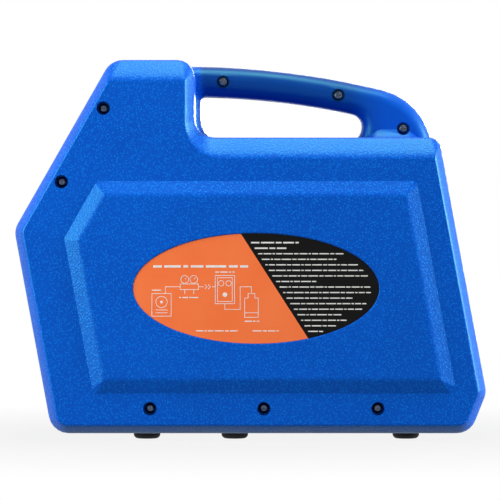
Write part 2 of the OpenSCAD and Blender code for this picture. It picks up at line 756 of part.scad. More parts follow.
// Fluted knob on a stem. The stem reaches into the valve behind the panel.
stem_depth = 16;
knob_lift = 1;
module fluted_knob(d, h, flutes) {
    difference() {
        translate([0, 0, knob_lift]) rotate_extrude() polygon([
            [0, 0], [d / 2, 0], [d / 2, h * 0.75], [d / 2 - 1.2, h - 0.8], [d / 2 - 3, h], [0, h]
        ]);
        for (k = [0 : flutes - 1]) rotate(360 / flutes * (k + 0.5)) translate([d / 2 + 2.4, 0, 0])
            cylinder(r = 4, h = h + over, $fn = 24);
        translate([0, d / 2 - 6, knob_lift + h]) cube([2, 8, 1.6], center = true);
    }
    translate([0, 0, -panel - stem_depth]) cylinder(r = stem_r, h = panel + stem_depth + knob_lift + 1);
}
module mode_knob() color(black) on_slope(control_station, 0, upper_sink) difference() {
    fluted_knob(mode_knob_d, mode_knob_h, 10);
    for (x = [-1, 1]) translate([x * (mode_knob_d / 4 + 3), 0, knob_lift + mode_knob_h])
        cube([mode_knob_d / 2 - 2, mode_knob_d, mode_knob_h], center = true);
}
module inlet_knob() color([0.05, 0.25, 0.7]) on_front(valve_station, valve_y, lower_sink)
    fluted_knob(valve_knob_d, valve_knob_h, 12);
module outlet_knob() color([0.75, 0.08, 0.06]) on_front(valve_station, -valve_y, lower_sink)
    fluted_knob(valve_knob_d, valve_knob_h, 12);

// Valve bodies behind the panel, with bores for the stem and the port's root
valve_size = [40, 92, 30];
valve_mid = (valve_station + port_station) / 2;
port_root = 14;
module valve_body() difference() {
    translate([0, 0, -panel - valve_size.z / 2]) cube(valve_size, center = true);
    translate([0, valve_mid - valve_station, -panel - stem_depth - 1])
        cylinder(r = stem_r + run_gap, h = valve_size.z);
    translate([0, valve_mid - port_station, -panel - port_root])
        cylinder(r = port_root_r + run_gap, h = valve_size.z);
}
module inlet_valve() color(alloy) difference() {
    on_front(valve_mid, valve_y, lower_sink) valve_body();
    tube_drills(tube_gap);
    translate(suction_start) cylinder(r = pipe_r + tube_gap, h = valve_size.z);
}
module outlet_valve() color(alloy) difference() {
    on_front(valve_mid, -valve_y, lower_sink) valve_body();
    tube_drills(tube_gap);
    translate(liquid_end) mirror([0, 0, 1]) cylinder(r = pipe_r + tube_gap, h = valve_size.z);
}
// Places where the suction pipe leaves the inlet valve and the liquid pipe enters the outlet valve
valve_top_s = valve_mid - valve_size.y / 2;
valve_bottom_s = valve_mid + valve_size.y / 2;
valve_depth = lower_sink + panel + valve_size.z / 2;
pipe_bite = 8;
pipe_aside = 12;
suction_start = snap(front_point(valve_top_s, valve_y + pipe_aside, valve_depth) - [0, 0, pipe_bite]);
liquid_end = snap(front_point(valve_bottom_s, -valve_y, valve_depth) + [0, 0, pipe_bite]);
mode_valve_size = [38, 26, 26];
module mode_valve() color(alloy) on_slope(control_station, 0, upper_sink) difference() {
    translate([0, 0, -panel - mode_valve_size.z / 2]) cube(mode_valve_size, center = true);
    translate([0, 0, -panel - stem_depth - 1]) cylinder(r = stem_r + run_gap, h = mode_valve_size.z);
}

// Flare fitting: hexagon on the panel, thread outside, root in the valve body
port_hex = 17;
port_hex_h = 6;
port_bore = 4.8;
module hose_port() difference() {
    union() {
        cylinder(d = port_hex / cos(30), h = port_hex_h, $fn = 6);
        translate([0, 0, -panel - port_root + 1]) cylinder(r = port_root_r, h = panel + port_root);
        translate([0, 0, port_hex_h]) cylinder(d = port_d, h = port_thread);
        translate([0, 0, port_hex_h + port_thread]) cylinder(d1 = port_d, d2 = port_d - 4, h = 3);
    }
    translate([0, 0, -over]) cylinder(d = port_bore, h = port_thread + port_hex_h + over * 2);
}
module inlet_port() color(brass) on_front(port_station, valve_y, lower_sink) hose_port();
module outlet_port() color(brass) on_front(port_station, -valve_y, lower_sink) hose_port();

// Rocker switch: the rocker turns on two trunnions in the side walls of its body
rocker_half = [9, 10.6];
rocker_axis = -2;
rocker_throw = 9;
trunnion_r = 1.5;
switch_back = 24;
module switch_body() color(black) on_slope(control_station, control_y, upper_sink) difference() {
    union() {
        translate([0, 0, -switch_back / 2]) cube([switch_size.x, switch_size.y, switch_back], center = true);
        linear_extrude(2.5) offset(2) square([switch_size.x + 2, switch_size.y + 2], center = true);
    }
    translate([0, 0, -4]) cube([rocker_half.x * 2 + 0.6, rocker_half.y * 2 + 2.8, 14], center = true);
    translate([0, 0, rocker_axis]) rotate([0, 90, 0])
        cylinder(r = trunnion_r + run_gap, h = switch_size.x + over, center = true);
}
module switch_rocker() color([0.7, 0.06, 0.05]) on_slope(control_station, control_y, upper_sink)
    translate([0, 0, rocker_axis]) rotate([rocker_throw, 0, 0]) {
        rotate([90, 0, 90]) linear_extrude(rocker_half.x * 2, center = true) polygon([
            [-10, -3], [10, -3], [rocker_half.y, 6], [rocker_half.y / 2, 4.4], [0, 3.8],
            [-rocker_half.y / 2, 4.4], [-rocker_half.y, 6]
        ]);
        rotate([0, 90, 0]) cylinder(r = trunnion_r, h = switch_size.x - 2, center = true);
    }

// Thermal breaker with a push-to-reset button
button_r = 5;
module breaker_body() color(black) on_slope(control_station, -control_y, upper_sink) difference() {
    union() {
        translate([0, 0, -22]) cylinder(r = breaker_r, h = 22);
        cylinder(r = breaker_r + 3.5, h = 2.5);
    }
    translate([0, 0, -14]) cylinder(r = button_r + 2, h = 12);
    translate([0, 0, -3]) cylinder(r = button_r + run_gap * 2, h = over * 2);
}
module breaker_button() color([0.75, 0.08, 0.06]) on_slope(control_station, -control_y, upper_sink) {
    translate([0, 0, -8]) cylinder(r = button_r, h = 14);
    translate([0, 0, -8]) cylinder(r = button_r + 1.5, h = 5.5);
}

// Power inlet: three-blade appliance socket with a screwed flange
module power_inlet() color(black) on_front(socket_station, 0, lower_sink) {
    difference() {
        union() {
            linear_extrude(3) offset(3) square(socket_flange - [6, 6], center = true);
            translate([0, 0, -panel - 20]) linear_extrude(panel + 20.5) square(socket_size, center = true);
        }
        translate([0, 0, -16]) linear_extrude(16 + over) polygon([
            [-12, -8.5], [12, -8.5], [12, 3.5], [7, 8.5], [-7, 8.5], [-12, 3.5]
        ]);
    }
    for (p = [[-7, -3.5], [0, 2.5], [7, -3.5]]) translate([p.x, p.y, -9.5]) cube([2, 4, 15], center = true);
}

// High-pressure cut-out screwed into the top of the outlet valve
cut_out_aside = 9;
module pressure_switch() color(brass)
    on_front(valve_top_s, -valve_y - cut_out_aside, valve_depth) rotate([-90, 0, 0]) {
        cylinder(d = 15, h = 7, $fn = 6);
        translate([0, 0, 6]) cylinder(d = 18, h = 16);
    }

// Round tube along a list of corner points, with an exact elbow at each inner corner
module stick(p, q, r) let (d = unit(q - p), tilt = acos(d.z), spin = atan2(d.y, d.x))
    translate(p) rotate([0, tilt, spin]) cylinder(r = r, h = norm(q - p));
module elbow(p, q, s, r, bend) {
    d = unit(q - p);
    e = unit(s - q);
    axis = unit(cross(d, e));
    turn = acos(d * e);
    start = q - d * bend * tan(turn / 2);
    out = cross(d, axis);
    centre = start - out * bend;
    multmatrix([
        [out.x, d.x, axis.x, centre.x], [out.y, d.y, axis.y, centre.y], [out.z, d.z, axis.z, centre.z]
    ]) rotate_extrude(angle = turn) translate([bend, 0]) circle(r);
}
function cut_back(p, q, s, bend) = let (d = unit(q - p), e = unit(s - q)) bend * tan(acos(d * e) / 2);
module pipe(pts, r, bend) {
    last = len(pts) - 1;
    for (i = [0 : last - 1]) {
        d = unit(pts[i + 1] - pts[i]);
        from = i == 0 ? pts[0] : pts[i] + d * cut_back(pts[i - 1], pts[i], pts[i + 1], bend);
        to = i == last - 1 ? pts[last] : pts[i + 1] - d * cut_back(pts[i], pts[i + 1], pts[i + 2], bend);
        stick(from, to, r);
    }
    for (i = [1 : last - 1]) elbow(pts[i - 1], pts[i], pts[i + 1], r, bend);
}

// Capillary tubes from the tops of the valves to the nipples behind the gauges
tube_r = 1.6;
tube_gap = 0.1;
valve_top_point = snap(front_point(valve_top_s, gauge_y, valve_depth));
nipple_point = snap(slope_point(gauge_station, gauge_y, upper_sink + gauge_back + 4));
tube_z = valve_top_point.z + 27;
module tube_drills(grow) for (s = [-1, 1]) {
    translate([valve_top_point.x, s * gauge_y, valve_top_point.z - 6]) cylinder(r = tube_r + grow, h = 20);
    translate([nipple_point.x, s * gauge_y, nipple_point.z - 14]) cylinder(r = tube_r + grow, h = 14);
}
module gauge_tubes() color(copper) for (s = [-1, 1]) pipe([
    [valve_top_point.x, s * gauge_y, valve_top_point.z - 6], [valve_top_point.x, s * gauge_y, tube_z],
    [nipple_point.x, s * gauge_y, tube_z], [nipple_point.x, s * gauge_y, nipple_point.z]
], tube_r, 6);

// Motor: stator between two bells, rotor on a shaft in two bearings
stator_x0 = -20;
stator_x1 = stator_x0 + stator_l;
stator_r = stator_d / 2;
rotor_r = 31;
air_gap = 0.4;
bell_l = 22;
bearing_r = 17.5;
bearing_l = 11;
bearing_at = 8;
bolt_ring = stator_r - 6;
bolt_r = 2.5;
winding_l = 6;
bearing_fit = 0.02;
module at_bolts() for (a = [45 : 90 : 315]) rotate(a) translate([bolt_ring, 0, 0]) children();
module motor_stator() color(steel) along_x(stator_x0) difference() {
    cylinder(r = stator_r, h = stator_l);
    translate([0, 0, -1]) cylinder(r = rotor_r + air_gap, h = stator_l + 2);
    translate([0, 0, -1]) at_bolts() cylinder(r = bolt_r + seat_gap, h = stator_l + 2);
}
module motor_windings() color(copper) along_x(stator_x0)
    for (z = [-winding_l, stator_l]) translate([0, 0, z]) rotate_extrude() polygon([
        [rotor_r + 3, 0], [stator_r - 14, 0], [stator_r - 12, winding_l / 3],
        [stator_r - 12, winding_l * 2 / 3], [stator_r - 14, winding_l], [rotor_r + 3, winding_l]
    ]);
module bell() difference() {
    rotate_extrude() polygon([
        [shaft_d / 2 + 1, bell_l], [bearing_r + 5, bell_l], [stator_r - 18, bell_l - 5], [stator_r, 8],
        [stator_r, 0], [stator_r - 10, 0], [stator_r - 10, 6.5], [stator_r - 20, 13], [bearing_r + 6, 13],
        [bearing_r + 6, bearing_at], [bearing_r + bearing_fit, bearing_at],
        [bearing_r + bearing_fit, bearing_at + bearing_l], [shaft_d / 2 + 1, bearing_at + bearing_l]
    ]);
    at_bolts() cylinder(r = bolt_r + seat_gap, h = bell_l * 2, center = true);
    at_bolts() translate([0, 0, 8]) cylinder(d = head_d + 1, h = bell_l);
}
module bearing() difference() {
    translate([0, 0, bearing_at]) cylinder(r = bearing_r, h = bearing_l);
    cylinder(d = shaft_d + run_gap * 2, h = bell_l * 2);
}
module motor_front_bell() color(alloy) along_x(stator_x0) mirror([0, 0, 1]) bell();
module motor_rear_bell() color(alloy) along_x(stator_x1) bell();
module front_bearing() color(steel) along_x(stator_x0) mirror([0, 0, 1]) bearing();
module rear_bearing() color(steel) along_x(stator_x1) bearing();
module motor_bolts() color(steel) along_x(stator_x0) at_bolts() {
    translate([0, 0, -8]) cylinder(r = bolt_r, h = stator_l + 16);
    translate([0, 0, stator_l + 8]) cylinder(d = head_d, h = 3, $fn = 6);
    translate([0, 0, -11]) cylinder(d = head_d, h = 3, $fn = 6);
}
fan_x = stator_x1 + bell_l + 18;
crank_x1 = stator_x0 - bell_l;
crank_l = 56;
crank_x = crank_x1 - crank_l / 2;
shaft_x0 = crank_x - 8;
shaft_x1 = fan_x + fan_depth + 2;
module motor_shaft() color(steel) along_x(shaft_x0) cylinder(d = shaft_d, h = shaft_x1 - shaft_x0);
module motor_rotor() color(steel) along_x(stator_x0 + 8) difference() {
    cylinder(r = rotor_r, h = stator_l - 16);
    translate([0, 0, -1]) cylinder(d = shaft_d, h = stator_l);
}

// Cradle under the stator on four rubber isolators
cradle_x = [stator_x0 + 20, stator_x1 - 24];
isolator_h = 12;
cradle_z = deck_z + isolator_h;
module isolators() color(black) for (x = cradle_x) for (y = [-50, 50]) translate([x + 2, y, deck_z])
    cylinder(r = 9, h = isolator_h);
module motor_cradle() color(steel) difference() {
    union() {
        translate([cradle_x[0] - 12, -62, cradle_z]) cube([cradle_x[1] - cradle_x[0] + 28, 124, 3]);
        for (x = cradle_x) translate([x, -50, cradle_z]) cube([4, 100, axis_z - cradle_z - 14]);
    }
    along_x(stator_x0) cylinder(r = stator_r + 0.2, h = stator_l);
}

// Run capacitor in a clip on top of the stator
cap_r = 18;
cap_l = 70;
cap_x = stator_x0 + 10;
cap_z = axis_z + stator_r + cap_r + 5;
module run_capacitor() color([0.75, 0.76, 0.78]) translate([cap_x, 0, cap_z]) rotate([0, 90, 0]) {
    cylinder(r = cap_r, h = cap_l);
    for (y = [-5, 5]) translate([0, y, -8]) cylinder(r = 1.5, h = 9);
}
module capacitor_clip() color(steel) difference() {
    union() {
        translate([cap_x + 24, -12, axis_z]) cube([16, 24, cap_z - axis_z]);
        translate([cap_x + 24, 0, cap_z]) rotate([0, 90, 0]) cylinder(r = cap_r + 2, h = 16);
    }
    along_x(stator_x0) cylinder(r = stator_r + 0.1, h = stator_l);
    translate([cap_x, 0, cap_z]) rotate([0, 90, 0]) cylinder(r = cap_r + 0.1, h = cap_l);
}

// Axial fan on the rear end of the shaft: pitched blades trimmed to a disc
hub_r = 16;
blade_pitch = 38;
blade_t = 2;
module cooling_fan() color(black) along_x(fan_x) difference() {
    union() {
        cylinder(r = hub_r, h = fan_depth);
        intersection() {
            cylinder(d = fan_d, h = fan_depth);
            for (k = [0 : fan_blades - 1]) rotate(360 / fan_blades * k)
                translate([hub_r - 3, 0, fan_depth / 2]) rotate([blade_pitch, 0, 0])
                    translate([0, -fan_depth, -blade_t / 2]) cube([fan_d / 2, fan_depth * 2, blade_t]);
        }
    }
    translate([0, 0, -1]) cylinder(d = shaft_d, h = fan_depth + 2);
}

// Condenser: finned serpentine coil in a frame of two end plates, with the fan shroud in front
condenser_aside = 25;
condenser_x = fan_x + fan_depth + 10 + condenser_depth / 2;
condenser_w = 2 * (seat_y - condenser_aside);
coil_low = 32;
coil_drop = 72;
coil_z0 = deck_z + coil_low;
pass_pitch = floor((shelf_z - coil_drop - coil_z0) / (condenser_passes - 1) * 2) / 2;
coil_z1 = coil_z0 + pass_pitch * (condenser_passes - 1);
coil_bend = min(pass_pitch / 2 - 1, 10);
fin_pitch = 6;
fin_t = 0.8;
end_plate = 2;
pipe_r = pipe_d / 2;
shroud_x = condenser_x - condenser_depth / 2 - 4;
shroud_t = 2;
shroud_lift = 10;
fin_over = 9;
frame_top = coil_z1 + fin_over + 3;
shroud_r = fan_d / 2 + 4;
turn_y = condenser_w / 2 + end_plate + 11;
module coil_holes(grow) for (k = [0 : condenser_passes - 1])
    translate([condenser_x, 0, coil_z0 + k * pass_pitch]) rotate([90, 0, 0])
        cylinder(r = pipe_r + grow, h = case_width, center = true);
fin_y = condenser_w / 2 - 4;
module condenser_fins() color(alloy) for (y = [-fin_y : fin_pitch : fin_y]) difference() {
    translate([condenser_x - condenser_depth / 2, y - fin_t / 2, coil_z0 - fin_over])
        cube([condenser_depth, fin_t, coil_z1 - coil_z0 + fin_over * 2]);
    for (k = [0 : condenser_passes - 1]) translate([condenser_x, y, coil_z0 + k * pass_pitch])
        rotate([90, 0, 0]) cylinder(r = pipe_r + seat_gap, h = fin_t * 3, center = true);
}
module condenser_frame() color(steel) difference() {
    both_sides() translate([shroud_x + shroud_t, condenser_w / 2, deck_z])
        cube([condenser_x + condenser_depth / 2 + 1 - shroud_x - shroud_t, end_plate, frame_top - deck_z]);
    coil_holes(seat_gap);
}
module fan_shroud() color(black) difference() {
    union() {
        translate([shroud_x, -condenser_w / 2 - end_plate, deck_z + shroud_lift])
            cube([shroud_t, condenser_w + end_plate * 2, frame_top - deck_z - shroud_lift]);
        along_x(shroud_x - fan_depth + 4) cylinder(r = shroud_r + shroud_t, h = fan_depth - 3);
    }
    along_x(shroud_x - fan_depth - over) cylinder(r = shroud_r, h = fan_depth + over * 3);
}
coil_turns = [
    for (k = [0 : condenser_passes - 1])
        let (z = coil_z1 - k * pass_pitch, s = k % 2 == 0 ? 1 : -1)
            each [[condenser_x, -s * turn_y, z], [condenser_x, s * turn_y, z]]
];
coil_lead = 16;
coil_top = [condenser_x, -turn_y, coil_z1 + coil_lead];
coil_exit = [condenser_x - coil_lead, -turn_y, coil_z0];
module condenser_coil() color(copper) pipe(
    concat([coil_top], coil_turns, [coil_exit]), pipe_r, coil_bend
);

// Compressor: closed crankcase on the front bell with two opposed finned cylinders
crank_half = 35;
crank_high = 46;
head_l = 16;
cylinder_l = turn_y - crank_half - (head_l - 4) / 2;
fin_pitch_y = (cylinder_l - 6) / 6;
head_r = cylinder_fin_d / 2 + 1;
module crankcase() color(alloy) difference() {
    along_x(crank_x1 - crank_l) linear_extrude(crank_l) polygon(round_path([
        [-crank_high, -crank_half], [crank_high, -crank_half],
        [crank_high, crank_half], [-crank_high, crank_half]
    ], [10, 10, 10, 10], 6));
    along_x(crank_x1 - crank_l / 2 - 12) cylinder(d = shaft_d + 0.6, h = crank_l);
}
module crankcase_cover() color(alloy) along_x(crank_x1 - crank_l - 6) {
    cylinder(r = 28, h = 6);
    for (a = [0 : 60 : 300]) rotate(a) translate([23, 0, -2.5]) cylinder(d = 6, h = 3, $fn = 6);
}
module finned_cylinder() {
    cylinder(r = cylinder_fin_d / 2 - 9, h = cylinder_l);
    for (k = [0 : 5]) translate([0, 0, 3 + k * fin_pitch_y]) cylinder(d = cylinder_fin_d, h = 2.2);
}
module cylinder_head() {
    cylinder(r = head_r, h = head_l - 4);
    cylinder(r = head_r - 12, h = head_l);
    for (a = [45 : 90 : 315]) rotate(a) translate([head_r - 7, 0, head_l - 6])
        cylinder(d = head_d, h = 5.5, $fn = 6);
}
head_top = axis_z + head_r;
port_shift = [0, 14, -10];
module head_drills(side) for (dx = port_shift) translate([crank_x + dx, side * turn_y, head_top - 16])
    cylinder(r = pipe_d / 2 + 0.1, h = 30);
module near_cylinder() color(alloy) towards_near(crank_x, crank_half, axis_z) finned_cylinder();
module far_cylinder() color(alloy) towards_far(crank_x, crank_half, axis_z) finned_cylinder();
module near_head() color(alloy) difference() {
    towards_near(crank_x, crank_half + cylinder_l, axis_z) cylinder_head();
    head_drills(-1);
}
module far_head() color(alloy) difference() {
    towards_far(crank_x, crank_half + cylinder_l, axis_z) cylinder_head();
    head_drills(1);
}

// Pipes: suction from the inlet valve, crossover between the heads, discharge to the condenser and the
// liquid line back to the outlet valve
pipe_end_z = head_top - 15;
run_z = coil_top.z + 18;
cross_z = head_top + 20;
pipe_rise = 10.5;
suction_z = suction_start.z + pipe_bite + pipe_rise;
bend = 9;
module refrigerant_pipes() color(copper) {
    pipe([
        suction_start, [suction_start.x, suction_start.y, suction_z], [suction_start.x, turn_y, suction_z],
        [crank_x, turn_y, suction_z], [crank_x, turn_y, pipe_end_z]
    ], pipe_r, bend);
    pipe([
        [crank_x + port_shift[1], -turn_y, pipe_end_z], [crank_x + port_shift[1], -turn_y, cross_z],
        [crank_x + port_shift[1], turn_y, cross_z], [crank_x + port_shift[1], turn_y, pipe_end_z]
    ], pipe_r, bend);
    pipe([
        [crank_x + port_shift[2], -turn_y, pipe_end_z], [crank_x + port_shift[2], -turn_y, run_z],
        [condenser_x, -turn_y, run_z], coil_top
    ], pipe_r, bend);
    pipe([
        coil_exit, [liquid_end.x, coil_exit.y, coil_z0], [liquid_end.x, liquid_end.y, coil_z0], liquid_end
    ], pipe_r, bend);
}

near_shell();
far_shell();
side_plate();
front_panel();
rear_grille();
base_tray();
rubber_feet();
foot_screws();
case_screws();
tray_nuts();
low_gauge_case();
low_gauge_dial();
low_gauge_needle();
low_gauge_lens();
low_gauge_bezel();
high_gauge_case();
high_gauge_dial();
high_gauge_needle();
high_gauge_lens();
high_gauge_bezel();
mode_knob();
mode_valve();
inlet_knob();
outlet_knob();
inlet_valve();
outlet_valve();
inlet_port();
outlet_port();
switch_body();
switch_rocker();
breaker_body();
breaker_button();
power_inlet();
pressure_switch();
gauge_tubes();
motor_stator();
motor_windings();
motor_front_bell();
motor_rear_bell();
motor_bolts();
motor_shaft();
motor_rotor();
front_bearing();
rear_bearing();
motor_cradle();
isolators();
run_capacitor();
capacitor_clip();
cooling_fan();
fan_shroud();
crankcase();
crankcase_cover();
near_cylinder();
far_cylinder();
near_head();
far_head();
condenser_fins();
condenser_coil();
condenser_frame();
refrigerant_pipes();
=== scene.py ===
import json
import math

import bmesh
import bpy
from mathutils import Matrix, Vector

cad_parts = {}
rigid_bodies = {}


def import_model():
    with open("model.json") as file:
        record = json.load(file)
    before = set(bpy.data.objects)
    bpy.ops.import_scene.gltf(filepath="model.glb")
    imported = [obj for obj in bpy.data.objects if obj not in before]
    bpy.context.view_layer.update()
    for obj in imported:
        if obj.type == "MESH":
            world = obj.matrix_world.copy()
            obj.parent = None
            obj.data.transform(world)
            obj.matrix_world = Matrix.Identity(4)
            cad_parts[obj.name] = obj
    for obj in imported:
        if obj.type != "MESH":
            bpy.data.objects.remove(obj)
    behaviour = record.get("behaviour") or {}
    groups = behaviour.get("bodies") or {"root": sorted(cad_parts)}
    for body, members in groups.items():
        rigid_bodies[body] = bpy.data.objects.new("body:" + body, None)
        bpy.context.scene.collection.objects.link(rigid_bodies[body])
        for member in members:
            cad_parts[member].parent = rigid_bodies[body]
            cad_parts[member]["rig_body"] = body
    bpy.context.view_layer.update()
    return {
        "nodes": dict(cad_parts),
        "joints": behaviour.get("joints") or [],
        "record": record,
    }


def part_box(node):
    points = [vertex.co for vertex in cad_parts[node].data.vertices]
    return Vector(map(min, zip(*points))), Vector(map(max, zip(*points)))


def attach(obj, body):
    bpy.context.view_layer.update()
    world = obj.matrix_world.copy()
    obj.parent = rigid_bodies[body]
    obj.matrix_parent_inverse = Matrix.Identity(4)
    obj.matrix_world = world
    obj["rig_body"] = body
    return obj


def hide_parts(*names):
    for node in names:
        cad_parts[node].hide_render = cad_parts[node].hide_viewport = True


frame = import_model()

# Sheet-metal fittings: the folded base tray, the motor cradle, the clip and the condenser's end plates, with
# the nuts and bolts that hold them. They are zinc-coated steel, and the spangle of the coat shows as patches.
mm = 0.001
nodes = frame["nodes"]
drift_span = (0.3, 0.7)


def tint(red, green, blue):
    """A colour given as it looks on a screen, 0 to 255, as the light values that a shader takes."""
    shares = [channel / 255 for channel in (red, green, blue)]
    return [s / 12.92 if s <= 0.04045 else ((s + 0.055) / 1.055) ** 2.4 for s in shares] + [1.0]


def spread(tree, source, start, end, low=0.0, high=1.0):
    """Maps a value that runs from a start to an end onto the span from low to high."""
    span = tree.nodes.new("ShaderNodeMapRange")
    for socket, value in (("From Min", start), ("From Max", end), ("To Min", low), ("To Max", high)):
        span.inputs[socket].default_value = value
    tree.links.new(source, span.inputs["Value"])
    return span.outputs["Result"]


def textured(
    name, dark, light, patch, gloss, grain, depth, metal=0.0, sheen=0.3, stretch=(1, 1, 1), cells=False
):
    """A finish that drifts between two shades and two roughnesses over patches, under a fine relief."""
    finish = bpy.data.materials.new(name)
    finish.use_nodes = True
    tree = finish.node_tree
    add = tree.nodes.new
    join = tree.links.new
    shader = tree.nodes["Principled BSDF"]
    shader.inputs["Metallic"].default_value = metal
    shader.inputs["Specular IOR Level"].default_value = 0.5 if metal else sheen
    place = add("ShaderNodeTexCoord")
    squeeze = add("ShaderNodeMapping")
    squeeze.inputs["Scale"].default_value = stretch
    join(place.outputs["Object"], squeeze.inputs["Vector"])
    drift = add("ShaderNodeTexVoronoi" if cells else "ShaderNodeTexNoise")
    drift.inputs["Scale"].default_value = 1 / patch
    join(squeeze.outputs["Vector"], drift.inputs["Vector"])
    amount = drift.outputs["Color" if cells else "Fac"]
    shades = add("ShaderNodeValToRGB")
    for stop, position, colour in zip(shades.color_ramp.elements, drift_span, (dark, light)):
        stop.position = position
        stop.color = colour
    join(amount, shades.inputs["Fac"])
    join(shades.outputs["Color"], shader.inputs["Base Color"])
    join(spread(tree, amount, *drift_span, *gloss), shader.inputs["Roughness"])
    relief = add("ShaderNodeTexNoise")
    relief.name = "relief_source"
    relief.inputs["Scale"].default_value = 1 / grain
    join(squeeze.outputs["Vector"], relief.inputs["Vector"])
    bump = add("ShaderNodeBump")
    bump.name = "relief"
    bump.inputs["Distance"].default_value = depth
    join(relief.outputs["Fac"], bump.inputs["Height"])
    join(bump.outputs["Normal"], shader.inputs["Normal"])
    return finish


def coat(finish, *names):
    """Gives CAD nodes whose shape is right their finish."""
    for name in names:
        nodes[name].material_slots[0].material = finish


zinc_coat = textured(
    "zinc_coat", tint(150, 153, 158), tint(196, 198, 202), patch=5 * mm, gloss=(0.32, 0.48),
    grain=0.7 * mm, depth=0.02 * mm, metal=1.0, cells=True,
)
coat(zinc_coat, "base_tray", "motor_cradle", "capacitor_clip", "condenser_frame", "tray_nuts", "motor_bolts")

# Motor and compressor castings: end bells, crankcase, cover, finned cylinders and heads in die-cast
# aluminium with the fine skin of the mould. They bolt to each other in one line along the shaft.
cast_skin = textured(
    "cast_skin", tint(140, 142, 146), tint(172, 174, 177), patch=9 * mm, gloss=(0.42, 0.58),
    grain=0.9 * mm, depth=0.06 * mm, metal=0.9,
)
coat(
    cast_skin, "motor_front_bell", "motor_rear_bell", "crankcase", "crankcase_cover",
    "near_cylinder", "far_cylinder", "near_head", "far_head",
)

# Motor core: a stack of lacquered steel sheets with enamelled copper windings at both ends. The sheets show
# as fine rings across the shaft, and the windings as strands round it.
sheet_stack = textured(
    "sheet_stack", tint(62, 65, 70), tint(86, 90, 95), patch=30 * mm, gloss=(0.35, 0.5),
    grain=20 * mm, depth=0.15 * mm, metal=0.6, stretch=(30, 1, 1),
)
winding = textured(
    "winding_enamel", tint(128, 58, 26), tint(176, 92, 46), patch=8 * mm, gloss=(0.22, 0.35),
    grain=6 * mm, depth=0.3 * mm, metal=0.8, stretch=(6, 1, 1),
)
coat(sheet_stack, "motor_stator")
coat(winding, "motor_windings")

# Turning steel: the shaft, the rotor that is pressed on it and the two ball bearings that carry it in the end
# bells. Grinding leaves fine marks round the axis.
ground_steel = textured(
    "ground_steel", tint(168, 170, 174), tint(206, 208, 211), patch=12 * mm, gloss=(0.18, 0.3),
    grain=8 * mm, depth=0.03 * mm, metal=1.0, stretch=(12, 1, 1),
)
coat(ground_steel, "motor_shaft", "motor_rotor", "front_bearing", "rear_bearing")

# Run capacitor: a drawn aluminium can, slightly brushed along its length. A sheet-metal clip holds it on top
# of the motor.
drawn_can = textured(
    "drawn_can", tint(178, 180, 184), tint(214, 216, 219), patch=14 * mm, gloss=(0.25, 0.36),
    grain=5 * mm, depth=0.02 * mm, metal=1.0, stretch=(1, 6, 6),
)
coat(drawn_can, "run_capacitor")

# Isolators and feet: black rubber with a dull, slightly dusty skin. The feet are pressed over sunk screws
# under the case, the isolators stand between the tray and the motor cradle.
rubber_skin = textured(
    "rubber_skin", tint(14, 15, 17), tint(27, 28, 30), patch=7 * mm, gloss=(0.62, 0.8),
    grain=0.5 * mm, depth=0.04 * mm,
)
coat(rubber_skin, "isolators")
merge_gap = 0.001 * mm
flat_angle = math.radians(0.3)


def as_object(name, form, finish, body):
    """A finished form as an object at the origin that rides on a body."""
    mesh = bpy.data.meshes.new(name)
    form.to_mesh(mesh)
    form.free()
    mesh.materials.append(finish)
    thing = bpy.data.objects.new(name, mesh)
    bpy.context.scene.collection.objects.link(thing)
    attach(thing, body)
    return thing


def dressed(node, finish, edge=0.0, crease=32.0, rework=None):
    """A merged copy of a CAD node with soft normals, reworked or with rounded edges where that is given."""
    form = bmesh.new()
    form.from_mesh(nodes[node].data)
    bmesh.ops.remove_doubles(form, verts=form.verts, dist=merge_gap)
    bmesh.ops.dissolve_limit(
        form, angle_limit=flat_angle, use_dissolve_boundaries=False, verts=form.verts, edges=form.edges
    )
    if rework:
        rework(form)
    for face in form.faces:
        face.material_index = 0
    copy = as_object(node + "_finish", form, finish, nodes[node]["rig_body"])
    worn = copy.data.attributes.get("custom_normal")
    if worn:
        copy.data.attributes.remove(worn)
    copy.data.shade_smooth()
    copy.data.set_sharp_from_angle(angle=math.radians(crease))
    if edge:
        rounding = copy.modifiers.new("edge", "BEVEL")
        rounding.width = edge
        rounding.segments = 2
        rounding.limit_method = "ANGLE"
        rounding.angle_limit = math.radians(crease)
        rounding.use_clamp_overlap = False
    weights = copy.modifiers.new("weights", "WEIGHTED_NORMAL")
    weights.keep_sharp = True
    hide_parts(node)
    return copy


dressed("rubber_feet", rubber_skin)

# Fan and shroud: moulded black plastic. The fan is pressed on the rear end of the shaft and turns inside the
# shroud, which leads its air through the condenser.
moulded_black = textured(
    "moulded_black", tint(16, 16, 18), tint(26, 26, 28), patch=20 * mm, gloss=(0.38, 0.5),
    grain=0.6 * mm, depth=0.03 * mm,
)
coat(moulded_black, "cooling_fan", "fan_shroud")

# Condenser: stamped aluminium fins on a drawn copper coil, and the copper pipes and capillaries of the
# refrigerant side. The copper has darker heat stains along its length.
fin_stock = textured(
    "fin_stock", tint(186, 189, 193), tint(216, 219, 222), patch=12 * mm, gloss=(0.28, 0.4),
    grain=3 * mm, depth=0.05 * mm, metal=1.0, stretch=(1, 1, 4),
)
drawn_copper = textured(
    "drawn_copper", tint(150, 84, 52), tint(205, 128, 86), patch=18 * mm, gloss=(0.2, 0.36),
    grain=4 * mm, depth=0.02 * mm, metal=1.0,
)
coat(fin_stock, "condenser_fins")
coat(drawn_copper, "condenser_coil", "refrigerant_pipes", "gauge_tubes")

